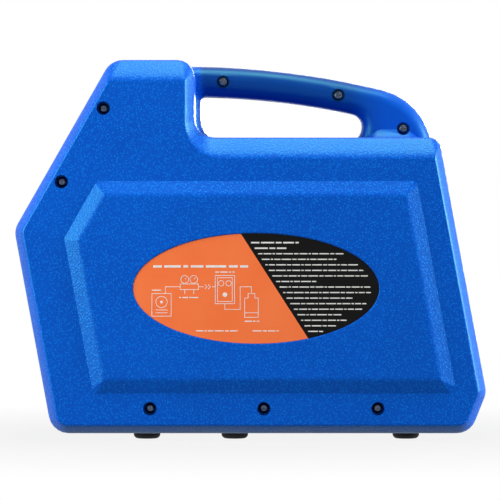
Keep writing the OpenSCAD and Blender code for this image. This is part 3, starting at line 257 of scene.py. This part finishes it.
# Valve bodies: aluminium blocks with milling marks, behind the panel. The pressure cut-out on top of one of
# them is turned brass.
milled_alloy = textured(
    "milled_alloy", tint(172, 174, 178), tint(204, 206, 209), patch=10 * mm, gloss=(0.25, 0.38),
    grain=7 * mm, depth=0.03 * mm, metal=1.0, stretch=(1, 1, 9),
)
turned_brass = textured(
    "turned_brass", tint(178, 140, 62), tint(222, 186, 104), patch=6 * mm, gloss=(0.16, 0.28),
    grain=3 * mm, depth=0.02 * mm, metal=1.0,
)
coat(milled_alloy, "inlet_valve", "outlet_valve", "mode_valve")
coat(turned_brass, "pressure_switch")

# Control front: a sunk tray of charcoal plastic with a fine spark-eroded texture. It is held between the two
# case shells and carries everything that the user reads, turns or plugs in.
panel_plastic = textured(
    "panel_plastic", tint(30, 31, 34), tint(42, 43, 46), patch=25 * mm, gloss=(0.48, 0.6),
    grain=0.7 * mm, depth=0.08 * mm,
)
dressed("front_panel", panel_plastic, edge=0.5 * mm)

# Printed marks on the control front: thin white ink that shows how far a valve turns, the three places of
# the mode knob and which way the hose ports flow. Each mark is a bar, an arc or a dot of ink on the surface.
ink = 0.06 * mm
white_ink = textured(
    "white_ink", tint(226, 226, 222), tint(242, 242, 238), patch=4 * mm, gloss=(0.42, 0.55),
    grain=0.5 * mm, depth=0.01 * mm,
)
joints = {joint["name"]: joint for joint in frame["joints"]}
mounts = {mount["name"]: mount for mount in frame["record"]["mounts"]}


def facing(origin, outwards):
    """The place of a surface on the control front: X to the reader's right, Y up the face, Z out of it."""
    out = Vector(outwards).normalized()
    right = Vector((0, -1, 0))
    up = out.cross(right)
    place = Matrix((right, up, out)).transposed().to_4x4()
    place.translation = Vector(origin)
    return place


def bearing(angle):
    """A step of one in a direction, counted in degrees from X to Y."""
    return Vector((math.cos(math.radians(angle)), math.sin(math.radians(angle))))


def bar(form, start, end, width):
    """A straight bar of ink from one point to another."""
    along = Vector(end) - Vector(start)
    middle = (Vector(start) + Vector(end)) / 2
    place = Matrix.Translation((middle.x, middle.y, ink / 2))
    place = place @ Matrix.Rotation(math.atan2(along.y, along.x), 4, "Z")
    place = place @ Matrix.Diagonal((along.length, width, ink, 1))
    bmesh.ops.create_cube(form, size=1, matrix=place)


def arc(form, centre, radius, width, start=0.0, sweep=360.0):
    """An arc or ring of ink, bent from a strip that is one face wide."""
    steps = max(3, round(abs(sweep) / 6))
    strip = bmesh.ops.create_grid(form, x_segments=steps, y_segments=1, size=0.5)["verts"]
    faces = {face for vert in strip for face in vert.link_faces}
    for vert in strip:
        spoke = bearing(start + sweep * (vert.co.x + 0.5))
        reach = radius + width * vert.co.y
        vert.co = (centre[0] + reach * spoke.x, centre[1] + reach * spoke.y, 0)
    raised = bmesh.ops.extrude_face_region(form, geom=list(faces))["geom"]
    lifted = [item for item in raised if isinstance(item, bmesh.types.BMVert)]
    bmesh.ops.translate(form, verts=lifted, vec=(0, 0, ink))


def dot(form, centre, radius):
    """A round spot of ink."""
    place = Matrix.Translation((centre[0], centre[1], ink / 2))
    bmesh.ops.create_cone(
        form, cap_ends=True, segments=24, radius1=radius, radius2=radius, depth=ink, matrix=place
    )


def numeral(form, text, centre, height):
    """A number, set from the built-in plain letter shapes."""
    letters = bpy.data.curves.new("numeral", "FONT")
    letters.body = text
    letters.size = height
    letters.align_x = "CENTER"
    letters.align_y = "CENTER"
    letters.extrude = ink / 2
    holder = bpy.data.objects.new("numeral", letters)
    bpy.context.scene.collection.objects.link(holder)
    bpy.context.view_layer.update()
    mesh = bpy.data.meshes.new_from_object(holder.evaluated_get(bpy.context.evaluated_depsgraph_get()))
    mesh.transform(Matrix.Translation((centre[0], centre[1], ink / 2)))
    form.from_mesh(mesh)
    bpy.data.objects.remove(holder)
    bpy.data.curves.remove(letters)
    bpy.data.meshes.remove(mesh)


def printed(name, form, place, finish, body):
    """Closes a printed form, sets it on its surface and makes it a piece."""
    bmesh.ops.remove_doubles(form, verts=form.verts, dist=merge_gap)
    bmesh.ops.recalc_face_normals(form, faces=form.faces)
    form.transform(place)
    return as_object(name, form, finish, body)


mark_r = 25 * mm
mark_start = 96
mark_sweep = 78
open_dot_r = 1.8 * mm
shut_ring_r = 1.7 * mm
line = 1.0 * mm
thin_line = 0.7 * mm
lower_out = joints["inlet_valve_turn"]["axis"]
for side in ("inlet", "outlet"):
    marks = bmesh.new()
    arc(marks, (0, 0), mark_r, line, mark_start, mark_sweep)
    dot(marks, (0, mark_r), open_dot_r)
    arc(marks, (-mark_r, 0), shut_ring_r, thin_line)
    valve_place = facing(joints[side + "_valve_turn"]["pos_m"], lower_out)
    printed(side + "_marks", marks, valve_place, white_ink, "case")

upper_out = joints["mode_turn"]["axis"]
mode_r = 23.5 * mm
mode_tick = 1.5 * mm
mode_number_out = 5 * mm
mode_number_h = 5.5 * mm
mode_marks = bmesh.new()
for count, angle in enumerate((150, 90, 30)):
    spoke = bearing(angle)
    bar(mode_marks, spoke * (mode_r - mode_tick), spoke * (mode_r + mode_tick), line)
    numeral(mode_marks, str(count + 1), spoke * (mode_r + mode_number_out), mode_number_h)
mode_place = facing(joints["mode_turn"]["pos_m"], upper_out)
printed("mode_marks", mode_marks, mode_place, white_ink, "case")

port_stand = 12.5 * mm
flow_x = 20 * mm
flow_step = 3.4 * mm
flow_leg = Vector((-2.4, 3)) * mm
flow_line = 0.9 * mm
for name, hand in (("inlet_port", -1), ("outlet_port", 1)):
    flow = bmesh.new()
    for step in range(3):
        tip = Vector((flow_x * hand + flow_step * (step - 0.5), 0))
        for rise in (-1, 1):
            bar(flow, tip, tip + Vector((flow_leg.x, flow_leg.y * rise)), flow_line)
    port_place = facing(mounts[name]["pos_m"], mounts[name]["axis"])
    port_place = port_place @ Matrix.Translation((0, 0, -port_stand))
    printed(name + "_flow", flow, port_place, white_ink, "case")

# Gauges: a black case behind the panel, a white printed dial, a needle on an arbor, a clear lens and a
# coloured bezel that clamps the lens. The low side is blue and the high side red, with plain bar scales.
gauge_plastic = textured(
    "gauge_plastic", tint(18, 18, 20), tint(28, 28, 31), patch=15 * mm, gloss=(0.3, 0.42),
    grain=0.8 * mm, depth=0.02 * mm,
)
dial_card = textured(
    "dial_card", tint(228, 228, 222), tint(240, 240, 236), patch=12 * mm, gloss=(0.5, 0.62),
    grain=0.6 * mm, depth=0.01 * mm,
)
needle_paint = textured(
    "needle_paint", tint(14, 14, 15), tint(24, 24, 25), patch=6 * mm, gloss=(0.35, 0.5),
    grain=0.5 * mm, depth=0.02 * mm,
)
low_plastic = textured(
    "low_plastic", tint(10, 52, 140), tint(18, 66, 164), patch=14 * mm, gloss=(0.24, 0.36),
    grain=0.8 * mm, depth=0.03 * mm,
)
high_plastic = textured(
    "high_plastic", tint(164, 16, 15), tint(190, 26, 22), patch=14 * mm, gloss=(0.24, 0.36),
    grain=0.8 * mm, depth=0.03 * mm,
)
black_ink = textured(
    "black_ink", tint(20, 20, 22), tint(32, 32, 34), patch=4 * mm, gloss=(0.4, 0.55),
    grain=0.5 * mm, depth=0.01 * mm,
)
lens_glass = textured(
    "lens_glass", tint(244, 248, 250), tint(250, 252, 253), patch=30 * mm, gloss=(0.02, 0.05),
    grain=12 * mm, depth=0.002 * mm,
)
lens_shader = lens_glass.node_tree.nodes["Principled BSDF"]
lens_shader.inputs["Transmission Weight"].default_value = 1.0
lens_shader.inputs["IOR"].default_value = 1.49
lens_shader.inputs["Alpha"].default_value = 0.3

dial_face = 1.2 * mm
scale_r = 22 * mm
scale_line = 0.4 * mm
needle_zero = 225
needle_sweep = 270
scale_steps = 50
long_tick = (3.6 * mm, 0.7 * mm)
middle_tick = (2.6 * mm, 0.35 * mm)
short_tick = (1.7 * mm, 0.35 * mm)
number_in = 7 * mm
number_h = 4.6 * mm
band_out = 1.9 * mm
band_w = 1.8 * mm
flag_half = 4 * mm
flag_y = -13 * mm
flag_h = 2.4 * mm
for side, top, coloured, slot in (
    ("low", 10, low_plastic, "low_blue"), ("high", 50, high_plastic, "high_red"),
):
    dressed(side + "_gauge_case", gauge_plastic)
    dressed(side + "_gauge_dial", dial_card)
    dressed(side + "_gauge_needle", needle_paint, crease=40)
    dressed(side + "_gauge_lens", lens_glass)
    dressed(side + "_gauge_bezel", coloured, crease=40)
    pivot = joints[side + "_needle_sweep"]
    face = facing(pivot["pos_m"], -Vector(pivot["axis"])) @ Matrix.Translation((0, 0, dial_face))
    scale = bmesh.new()
    arc(scale, (0, 0), scale_r, scale_line, needle_zero, -needle_sweep)
    for step in range(scale_steps + 1):
        spoke = bearing(needle_zero - needle_sweep * step / scale_steps)
        major = step % 10 == 0
        reach, width = long_tick if major else middle_tick if step % 5 == 0 else short_tick
        bar(scale, spoke * scale_r, spoke * (scale_r - reach), width)
        if major:
            numeral(scale, str(top * step // scale_steps), spoke * (scale_r - number_in), number_h)
    printed(side + "_scale", scale, face, black_ink, "case")
    band = bmesh.new()
    arc(band, (0, 0), scale_r + band_out, band_w, needle_zero, -needle_sweep)
    bar(band, (-flag_half, flag_y), (flag_half, flag_y), flag_h)
    printed(side + "_band", band, face, coloured, "case")

# Knobs: moulded plastic with finger flutes, pushed on the valve stems, each with a white inlay in its pointer
# groove. The valve knobs have the colour of their side, and the mode knob is black with a finger bar.
knob_black = textured(
    "knob_black", tint(20, 20, 22), tint(31, 31, 34), patch=12 * mm, gloss=(0.34, 0.46),
    grain=0.6 * mm, depth=0.05 * mm,
)
inlay_size = (1.8 * mm, 7.6 * mm, 0.7 * mm, 1)
inlay_in = 6 * mm
inlay_sunk = 0.45 * mm
for node, joint, finish, slot, across, tall in (
    ("inlet_knob", "inlet_valve_turn", low_plastic, "low_blue", 38 * mm, 21 * mm),
    ("outlet_knob", "outlet_valve_turn", high_plastic, "high_red", 38 * mm, 21 * mm),
    ("mode_knob", "mode_turn", knob_black, "control_black", 40 * mm, 17 * mm),
):
    dressed(node, finish, edge=0.4 * mm, crease=36)
    groove = facing(joints[joint]["pos_m"], joints[joint]["axis"])
    groove = groove @ Matrix.Translation((0, across / 2 - inlay_in, tall))
    inlay = bmesh.new()
    sunk = Matrix.Translation((0, 0, -inlay_sunk))
    bmesh.ops.create_cube(inlay, size=1, matrix=sunk @ Matrix.Diagonal(inlay_size))
    printed(node + "_inlay", inlay, groove, white_ink, nodes[node]["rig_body"])

# Hose ports: flare fittings turned from brass bar, with a hexagon for the spanner, a fine thread and a coned
# seat round the bore. Each is screwed into its valve through the panel.
hex_across = 17 * mm
hex_r = hex_across / 2 / math.cos(math.pi / 6)
hex_h = 6 * mm
hex_edge = 0.6 * mm
seat_h = 3 * mm
seat_in = 2 * mm
bore_r = 2.4 * mm
pitch = 1.3 * mm
thread_depth = 0.6 * mm
thread_root = hex_h - 0.4 * mm
lip = 0.3 * mm
runout = 0.2 * mm
fitting_crease = 30
for name in ("inlet_port", "outlet_port"):
    thread_r = mounts[name]["dims"]["r_mm"] * mm
    thread_l = mounts[name]["dims"]["length_mm"] * mm
    base = facing(mounts[name]["pos_m"], mounts[name]["axis"])
    base = base @ Matrix.Translation((0, 0, -thread_l / 2 - hex_h))
    port = bmesh.new()
    nut = bmesh.ops.create_cone(
        port, cap_ends=True, segments=6, radius1=hex_r, radius2=hex_r, depth=hex_h,
        matrix=Matrix.Translation((0, 0, hex_h / 2)),
    )
    bmesh.ops.bevel(
        port, geom=list({edge for vert in nut["verts"] for edge in vert.link_edges}), offset=hex_edge,
        offset_type="OFFSET", affect="EDGES", segments=2, profile=0.5, material=-1,
    )
    top_z = hex_h + thread_l + seat_h
    outline = [(bore_r, thread_root), (bore_r, top_z - lip), (bore_r + lip, top_z)]
    outline += [(thread_r - seat_in, top_z), (thread_r - lip, top_z - seat_h + runout)]
    for turn in range(int(thread_l / pitch)):
        crest = top_z - seat_h - (turn + 0.5) * pitch
        outline += [(thread_r, crest), (thread_r - thread_depth, crest - pitch / 2)]
    outline.append((thread_r - thread_depth, thread_root))
    points = [port.verts.new((radius, 0, height)) for radius, height in outline]
    edges = [port.edges.new((points[i - 1], points[i])) for i in range(len(points))]
    bmesh.ops.spin(
        port, geom=points + edges, cent=(0, 0, 0), axis=(0, 0, 1), dvec=(0, 0, 0), angle=2 * math.pi,
        steps=48, use_merge=True,
    )
    fitting = printed(name + "_finish", port, base, turned_brass, "case")
    fitting.data.shade_smooth()
    fitting.data.set_sharp_from_angle(angle=math.radians(fitting_crease))
    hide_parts(name)

# Switch, breaker and mains inlet: black moulded bodies snapped or screwed into the panel. The rocker and the
# reset button are red, the rocker has the marks for on and off, and the inlet has three steel blades.
body_edge = 0.4 * mm
press_edge = 0.5 * mm
dressed("switch_body", knob_black, edge=body_edge)
dressed("breaker_body", knob_black, edge=body_edge)
dressed("power_inlet", knob_black, edge=body_edge)
dressed("switch_rocker", high_plastic, edge=press_edge)
dressed("breaker_button", high_plastic, edge=press_edge)

rocker_tilt = 9
rocker_slope = 16.8
sign_y = 7.95 * mm
sign_z = 5.2 * mm
on_half = 1.7 * mm
on_w = 0.9 * mm
off_r = 1.5 * mm
rocker_place = facing(joints["power_rocker_tilt"]["pos_m"], upper_out)
rocker_place = rocker_place @ Matrix.Rotation(math.radians(rocker_tilt), 4, "X")
for name, hand in (("on", 1), ("off", -1)):
    sign = bmesh.new()
    if hand > 0:
        bar(sign, (0, -on_half), (0, on_half), on_w)
    else:
        arc(sign, (0, 0), off_r, thin_line)
    half_face = Matrix.Translation((0, hand * sign_y, sign_z))
    half_face = half_face @ Matrix.Rotation(math.radians(rocker_slope * hand), 4, "X")
    printed("rocker_" + name, sign, rocker_place @ half_face, white_ink, "power_rocker")

inlet_at = Vector((-151.21, 0, 100.76)) * mm
inlet_place = facing(inlet_at, lower_out)
blade_places = ((-7, -3.5), (0, 2.5), (7, -3.5))
blade_size = (2.1 * mm, 4.1 * mm, 14.6 * mm, 1)
blade_z = -9.2 * mm
blades = bmesh.new()
for x, y in blade_places:
    middle = Matrix.Translation((x * mm, y * mm, blade_z))
    bmesh.ops.create_cube(blades, size=1, matrix=middle @ Matrix.Diagonal(blade_size))
printed("inlet_blades", blades, inlet_place, ground_steel, "case")

flange_top = 3 * mm
flange_screw_x = 18.2 * mm
head_h = 1.2 * mm
head_low_r = 2.9 * mm
head_top_r = 2.3 * mm
cross_half = 1.5 * mm
cross_w = 0.6 * mm
heads = bmesh.new()
slots = bmesh.new()
for hand in (-1, 1):
    head_at = Matrix.Translation((hand * flange_screw_x, 0, flange_top + head_h / 2))
    bmesh.ops.create_cone(
        heads, cap_ends=True, segments=32, radius1=head_low_r, radius2=head_top_r, depth=head_h,
        matrix=head_at,
    )
    centre = Vector((hand * flange_screw_x, 0))
    for reach in (Vector((cross_half, 0)), Vector((0, cross_half))):
        bar(slots, centre - reach, centre + reach, cross_w)
printed("inlet_screws", heads, inlet_place, zinc_coat, "case")
head_top = inlet_place @ Matrix.Translation((0, 0, flange_top + head_h))
printed("inlet_screw_slots", slots, head_top, black_ink, "case")

# Rear grille: a framed louvre of black plastic, clamped behind the rim of the rear window. The fan blows the
# condenser's warm air out through it.
coat(moulded_black, "rear_grille")

# Case halves: injection-moulded blue plastic with a pebbled grain. The handle and its shoulder are left
# smooth for the hand. The two halves meet in the middle and are screwed together.
pebble = 1.9 * mm
shell_plastic = textured(
    "shell_plastic", tint(0, 72, 189), tint(0, 78, 196), patch=60 * mm, gloss=(0.36, 0.42),
    grain=pebble, depth=0.12 * mm, sheen=0.5,
)
shell_tree = shell_plastic.node_tree
shell_join = shell_tree.links.new
shell_relief = shell_tree.nodes["relief"]
shell_shader = shell_tree.nodes["Principled BSDF"]
shell_shader.inputs["Specular Tint"].default_value = (0.16, 1.0, 0.8, 1.0)
shell_place = shell_tree.nodes["Texture Coordinate"].outputs["Object"]
shell_at = shell_tree.nodes.new("ShaderNodeSeparateXYZ")
shell_join(shell_place, shell_at.inputs["Vector"])


def product(tree, first, second):
    """Multiplies two values."""
    times = tree.nodes.new("ShaderNodeMath")
    times.operation = "MULTIPLY"
    tree.links.new(first, times.inputs[0])
    tree.links.new(second, times.inputs[1])
    return times.outputs["Value"]


def laid_over(tree, share, below, colour):
    """Lays a colour over the one below, by a share."""
    layer = tree.nodes.new("ShaderNodeMix")
    layer.data_type = "RGBA"
    layer.inputs["B"].default_value = colour
    tree.links.new(share, layer.inputs["Factor"])
    tree.links.new(below, layer.inputs["A"])
    return layer.outputs["Result"]


shelf_z = 269.5 * mm
shelf_fade = 4 * mm
flank_x = -49.9 * mm
flank_fade = 8 * mm
behind_tower = spread(shell_tree, shell_at.outputs["X"], flank_x, flank_x + flank_fade)
above_shelf = spread(shell_tree, shell_at.outputs["Z"], shelf_z, shelf_z + shelf_fade)
hand_area = product(shell_tree, behind_tower, above_shelf)
grained = spread(shell_tree, hand_area, 0, 1, 1.0, 0.06)
shell_join(grained, shell_relief.inputs["Strength"])
cells = shell_tree.nodes.new("ShaderNodeTexVoronoi")
cells.inputs["Scale"].default_value = 1 / pebble
shell_join(shell_place, cells.inputs["Vector"])
domes = spread(shell_tree, cells.outputs["Distance"], 0, 0.7, 1.0, 0.0)
shell_tree.nodes.remove(shell_tree.nodes["relief_source"])
shell_join(domes, shell_relief.inputs["Height"])
# Painted highlight: the tops of the pebbles get a lighter blue that stands for the glints the grain catches,
# and it fades out on the smooth handle.
pebble_glint_share = product(shell_tree, spread(shell_tree, domes, 0.4, 0.8, 0.0, 0.8), grained)
# Painted shade: the smooth handle behind the tower and above the shelf gets a darker blue for the shade it
# lies in, fading to a fifth of that across the shoulder.
shoulder = (90 * mm, 125 * mm)
shade_fade_at_shoulder = spread(shell_tree, shell_at.outputs["X"], *shoulder, 1.0, 0.2)
handle_shade_share = product(shell_tree, hand_area, shade_fade_at_shoulder)
moulded_blue = shell_tree.nodes["Color Ramp"].outputs["Color"]
shaded_handle_blue = laid_over(shell_tree, handle_shade_share, moulded_blue, tint(0, 46, 132))
glint_speckled_blue = laid_over(shell_tree, pebble_glint_share, shaded_handle_blue, tint(10, 128, 246))
shell_join(glint_speckled_blue, shell_shader.inputs["Base Color"])

plate_low, plate_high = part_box("side_plate")
plate_middle = (plate_low + plate_high) / 2
plate_half = (plate_high - plate_low) / 2
rim_round = 0.7 * mm
rim_slack = 0.03


def round_the_rim(form):
    """Rounds the rim of the pocket for the plate."""
    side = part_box("near_shell")[0].y

    def on_rim(point):
        away = point - plate_middle
        oval = (away.x / plate_half.x) ** 2 + (away.z / plate_half.z) ** 2
        return abs(point.y - side) < 0.01 * mm and abs(oval - 1) < rim_slack

    rim = [edge for edge in form.edges if all(on_rim(vert.co) for vert in edge.verts)]
    bmesh.ops.bevel(
        form, geom=rim, offset=rim_round, offset_type="OFFSET", affect="EDGES", segments=2, profile=0.5,
        material=-1,
    )


shell_crease = 21
dressed("near_shell", shell_plastic, crease=shell_crease, rework=round_the_rim)
dressed("far_shell", shell_plastic, crease=shell_crease)

# Screws: pan-head screws with a cross recess, darkened zinc. They sit deep in the round recesses of the case
# sides and the handle, and under the feet.
dark_zinc = textured(
    "dark_zinc", tint(50, 58, 72), tint(96, 108, 126), patch=2.4 * mm, gloss=(0.2, 0.32),
    grain=0.5 * mm, depth=0.02 * mm, metal=1.0,
)
for node in ("case_screws", "foot_screws"):
    dressed(node, dark_zinc, crease=30)

# Oval plate: a printed film plate in a shallow pocket of the near side, orange on the left and black on the
# right of a slanting line. It is glued in, and its print is a drawing of the set-up and lines of small words.
split_top = (-8.5 * mm, 184.0 * mm)
split_bottom = (50.8 * mm, 91.8 * mm)
plate_film = textured(
    "plate_film", tint(252, 122, 66), tint(255, 130, 74), patch=40 * mm, gloss=(0.34, 0.44),
    grain=3 * mm, depth=0.01 * mm, sheen=0.1,
)
plate_tree = plate_film.node_tree
plate_join = plate_tree.links.new
slant = Vector((split_top[1] - split_bottom[1], 0, split_bottom[0] - split_top[0])).normalized()
across = plate_tree.nodes.new("ShaderNodeVectorMath")
across.operation = "DOT_PRODUCT"
across.inputs[1].default_value = slant
plate_join(plate_tree.nodes["Texture Coordinate"].outputs["Object"], across.inputs[0])
beyond = plate_tree.nodes.new("ShaderNodeMath")
beyond.operation = "GREATER_THAN"
beyond.inputs[1].default_value = slant.dot(Vector((split_top[0], 0, split_top[1])))
plate_join(across.outputs["Value"], beyond.inputs[0])
orange_half = plate_tree.nodes["Color Ramp"].outputs["Color"]
halves = laid_over(plate_tree, beyond.outputs["Value"], orange_half, tint(6, 6, 7))
plate_join(halves, plate_tree.nodes["Principled BSDF"].inputs["Base Color"])
dressed("side_plate", plate_film)

plate_front = Matrix(((1, 0, 0, 0), (0, 0, -1, plate_low.y), (0, 1, 0, 0), (0, 0, 0, 1)))
thin = 0.5 * mm
small = 0.9 * mm


def words(form, start, end, height, seed):
    """A line of print too small to read: bars as long as words, with a gap after each."""
    at = start[0]
    count = seed
    while at < end:
        count += 1
        length = height * (2.2 + 1.7 * (count * 7 % 5))
        stop = min(at + length, end)
        if stop - at > height * 1.5:
            bar(form, (at, start[1]), (stop, start[1]), height)
        at = stop + height * 1.1


def trace(form, *points):
    """A thin line through points given in millimetres. Its bars meet at the corners without an overlap."""
    stops = [Vector(point) * mm for point in points]
    for index, (start, end) in enumerate(zip(stops, stops[1:])):
        corner = (end - start).normalized() * thin / 2
        loose_end = index == len(stops) - 2 and points[0] != points[-1]
        bar(form, start + corner, end - corner if loose_end else end + corner, thin)


def boxed(form, left, low, right, high):
    """The outline of a box, given in millimetres."""
    trace(form, (left, low), (right, low), (right, high), (left, high), (left, low))


drawing = bmesh.new()
words(drawing, (-86 * mm, 155 * mm), -2 * mm, 2.0 * mm, 2)

fan_at = Vector((-78.5, 123.5)) * mm
boxed(drawing, -87, 111, -70, 131)
arc(drawing, fan_at, 5 * mm, thin)
dot(drawing, fan_at, 1.2 * mm)
for height in (116.5, 114):
    trace(drawing, (-84, height), (-73, height))

hose_z = 137
trace(drawing, (-75, 131), (-75, hose_z), (-62, hose_z))
boxed(drawing, -62, 134.5, -46, 139.5)
for gauge_x in (-58, -50):
    arc(drawing, Vector((gauge_x, 143.5)) * mm, 3.4 * mm, thin)
    trace(drawing, (gauge_x, 143.5), (gauge_x + 1.6, 145.1))
    trace(drawing, (gauge_x, 134.5), (gauge_x, 130.5))
trace(drawing, (-46, hose_z), (-41, hose_z))
trace(drawing, (-34, hose_z), (-31, hose_z))
for tip_x in (-38.2, -35.2):
    trace(drawing, (tip_x - 2.2, hose_z + 2.2), (tip_x, hose_z), (tip_x - 2.2, hose_z - 2.2))

boxed(drawing, -31, 122, -14, 147)
boxed(drawing, -29, 124, -16, 145)
for gauge_x in (-25.8, -19.2):
    arc(drawing, Vector((gauge_x, 140)) * mm, 2.4 * mm, thin)
dot(drawing, Vector((-22.5, 130)) * mm, 2 * mm)

trace(drawing, (-22.5, 122), (-22.5, 117), (-9, 117), (-9, hose_z), (1, hose_z), (1, 131))
trace(
    drawing, (-5, 110), (7, 110), (7, 127), (4, 127), (4, 131), (-2, 131), (-2, 127), (-5, 127), (-5, 110)
)
trace(drawing, (-5, 114), (7, 114))

for left, right, height, seed in (
    (-87, -77, 134, 1), (-63, -45, 127.5, 4), (-31, -14, 150, 2), (-5, 8, 106.5, 3),
    (-48, -10, 98, 3), (2, 26, 98, 1),
):
    words(drawing, (left * mm, height * mm), right * mm, small, seed)
printed("plate_drawing", drawing, plate_front, white_ink, "case")

first_row_z = 176 * mm
row_pitch = 4.9 * mm
row_lengths = (44, 28, 78, 66, 88, 92, 100, 36, 100, 94, 58, 84, 70, 40, 72, 46, 40)
heading_rows = 2
heading_h = 1.3 * mm
row_h = 0.95 * mm
slant_margin = 4 * mm
oval_margin = 7 * mm
lean = (split_bottom[0] - split_top[0]) / (split_top[1] - split_bottom[1])
table = bmesh.new()
for row, length in enumerate(row_lengths):
    height = first_row_z - row_pitch * row
    oval_edge = plate_half.x * math.sqrt(1 - ((height - plate_middle.z) / plate_half.z) ** 2)
    start = split_top[0] + (split_top[1] - height) * lean + slant_margin
    end = min(start + length * mm, plate_middle.x + oval_edge - oval_margin)
    words(table, (start, height), end, heading_h if row < heading_rows else row_h, row)
printed("plate_table", table, plate_front, white_ink, "case")

# Floor, lights and camera: a pale floor under soft light from the left, the right, above and behind. The
# camera looks straight at the near side from three metres away.
floor_form = bmesh.new()
bmesh.ops.create_grid(floor_form, x_segments=1, y_segments=1, size=6.0)
floor_mesh = bpy.data.meshes.new("floor")
floor_form.to_mesh(floor_mesh)
floor_form.free()
floor = bpy.data.objects.new("floor", floor_mesh)
bpy.context.scene.collection.objects.link(floor)


def seen_directly(tree):
    """One for a ray from the camera, a mirror or a glass, and nought for the light that surfaces spread."""
    path = tree.nodes.new("ShaderNodeLightPath")
    total = path.outputs["Is Camera Ray"]
    for kind in ("Is Glossy Ray", "Is Transmission Ray"):
        both = tree.nodes.new("ShaderNodeMath")
        both.operation = "MAXIMUM"
        tree.links.new(total, both.inputs[0])
        tree.links.new(path.outputs[kind], both.inputs[1])
        total = both.outputs["Value"]
    return total


floor_paint = bpy.data.materials.new("floor_paint")
floor_paint.use_nodes = True
floor_tree = floor_paint.node_tree
floor_join = floor_tree.links.new
floor_shader = floor_tree.nodes["Principled BSDF"]
floor_shader.inputs["Base Color"].default_value = tint(84, 84, 84)
floor_shader.inputs["Roughness"].default_value = 0.9
floor_shader.inputs["Specular IOR Level"].default_value = 0.0
spot = floor_tree.nodes.new("ShaderNodeTexCoord")
away = floor_tree.nodes.new("ShaderNodeVectorMath")
away.operation = "LENGTH"
floor_join(spot.outputs["Object"], away.inputs[0])
shadow_area = (0.2, 0.6)
shadow_white = 0.88
whiteness = spread(floor_tree, away.outputs["Value"], *shadow_area, shadow_white, 1.0)
glow = floor_tree.nodes.new("ShaderNodeEmission")
blend = floor_tree.nodes.new("ShaderNodeMixShader")
floor_join(product(floor_tree, seen_directly(floor_tree), whiteness), blend.inputs["Fac"])
floor_join(floor_shader.outputs["BSDF"], blend.inputs[1])
floor_join(glow.outputs["Emission"], blend.inputs[2])
floor_join(blend.outputs["Shader"], floor_tree.nodes["Material Output"].inputs["Surface"])
floor_mesh.materials.append(floor_paint)

sky_light = 0.18
sky_white = 1.0
studio = bpy.data.worlds.new("studio")
bpy.context.scene.world = studio
studio.use_nodes = True
sky = studio.node_tree
sky_level = spread(sky, seen_directly(sky), 0, 1, sky_light, sky_white)
sky.nodes["Background"].inputs["Color"].default_value = (1, 1, 1, 1)
sky.links.new(sky_level, sky.nodes["Background"].inputs["Strength"])

aim = Vector((0, 0, 0.16))
lamp_size = 1.0
for name, place, power in (
    ("left", (-1.4, -0.8, 0.5), 28),
    ("right", (2.2, -0.27, 0.6), 72),
    ("top", (0.1, -0.4, 2.0), 29),
    ("rear", (0.5, 2.2, 0.6), 44),
):
    lamp = bpy.data.lights.new(name, "AREA")
    lamp.size = lamp_size
    lamp.energy = power
    holder = bpy.data.objects.new(name, lamp)
    holder.location = place
    holder.rotation_euler = (aim - Vector(place)).to_track_quat("-Z", "Y").to_euler()
    bpy.context.scene.collection.objects.link(holder)

view_place = (-0.0003, -3.0, 0.1695)
view = bpy.data.cameras.new("side_view")
view.sensor_width = 36
view.lens = 234.5
camera = bpy.data.objects.new("side_view", view)
camera.location = view_place
camera.rotation_euler = (math.radians(90), 0, 0)
bpy.context.scene.collection.objects.link(camera)
bpy.context.scene.camera = camera
bpy.context.scene.view_settings.view_transform = "Standard"
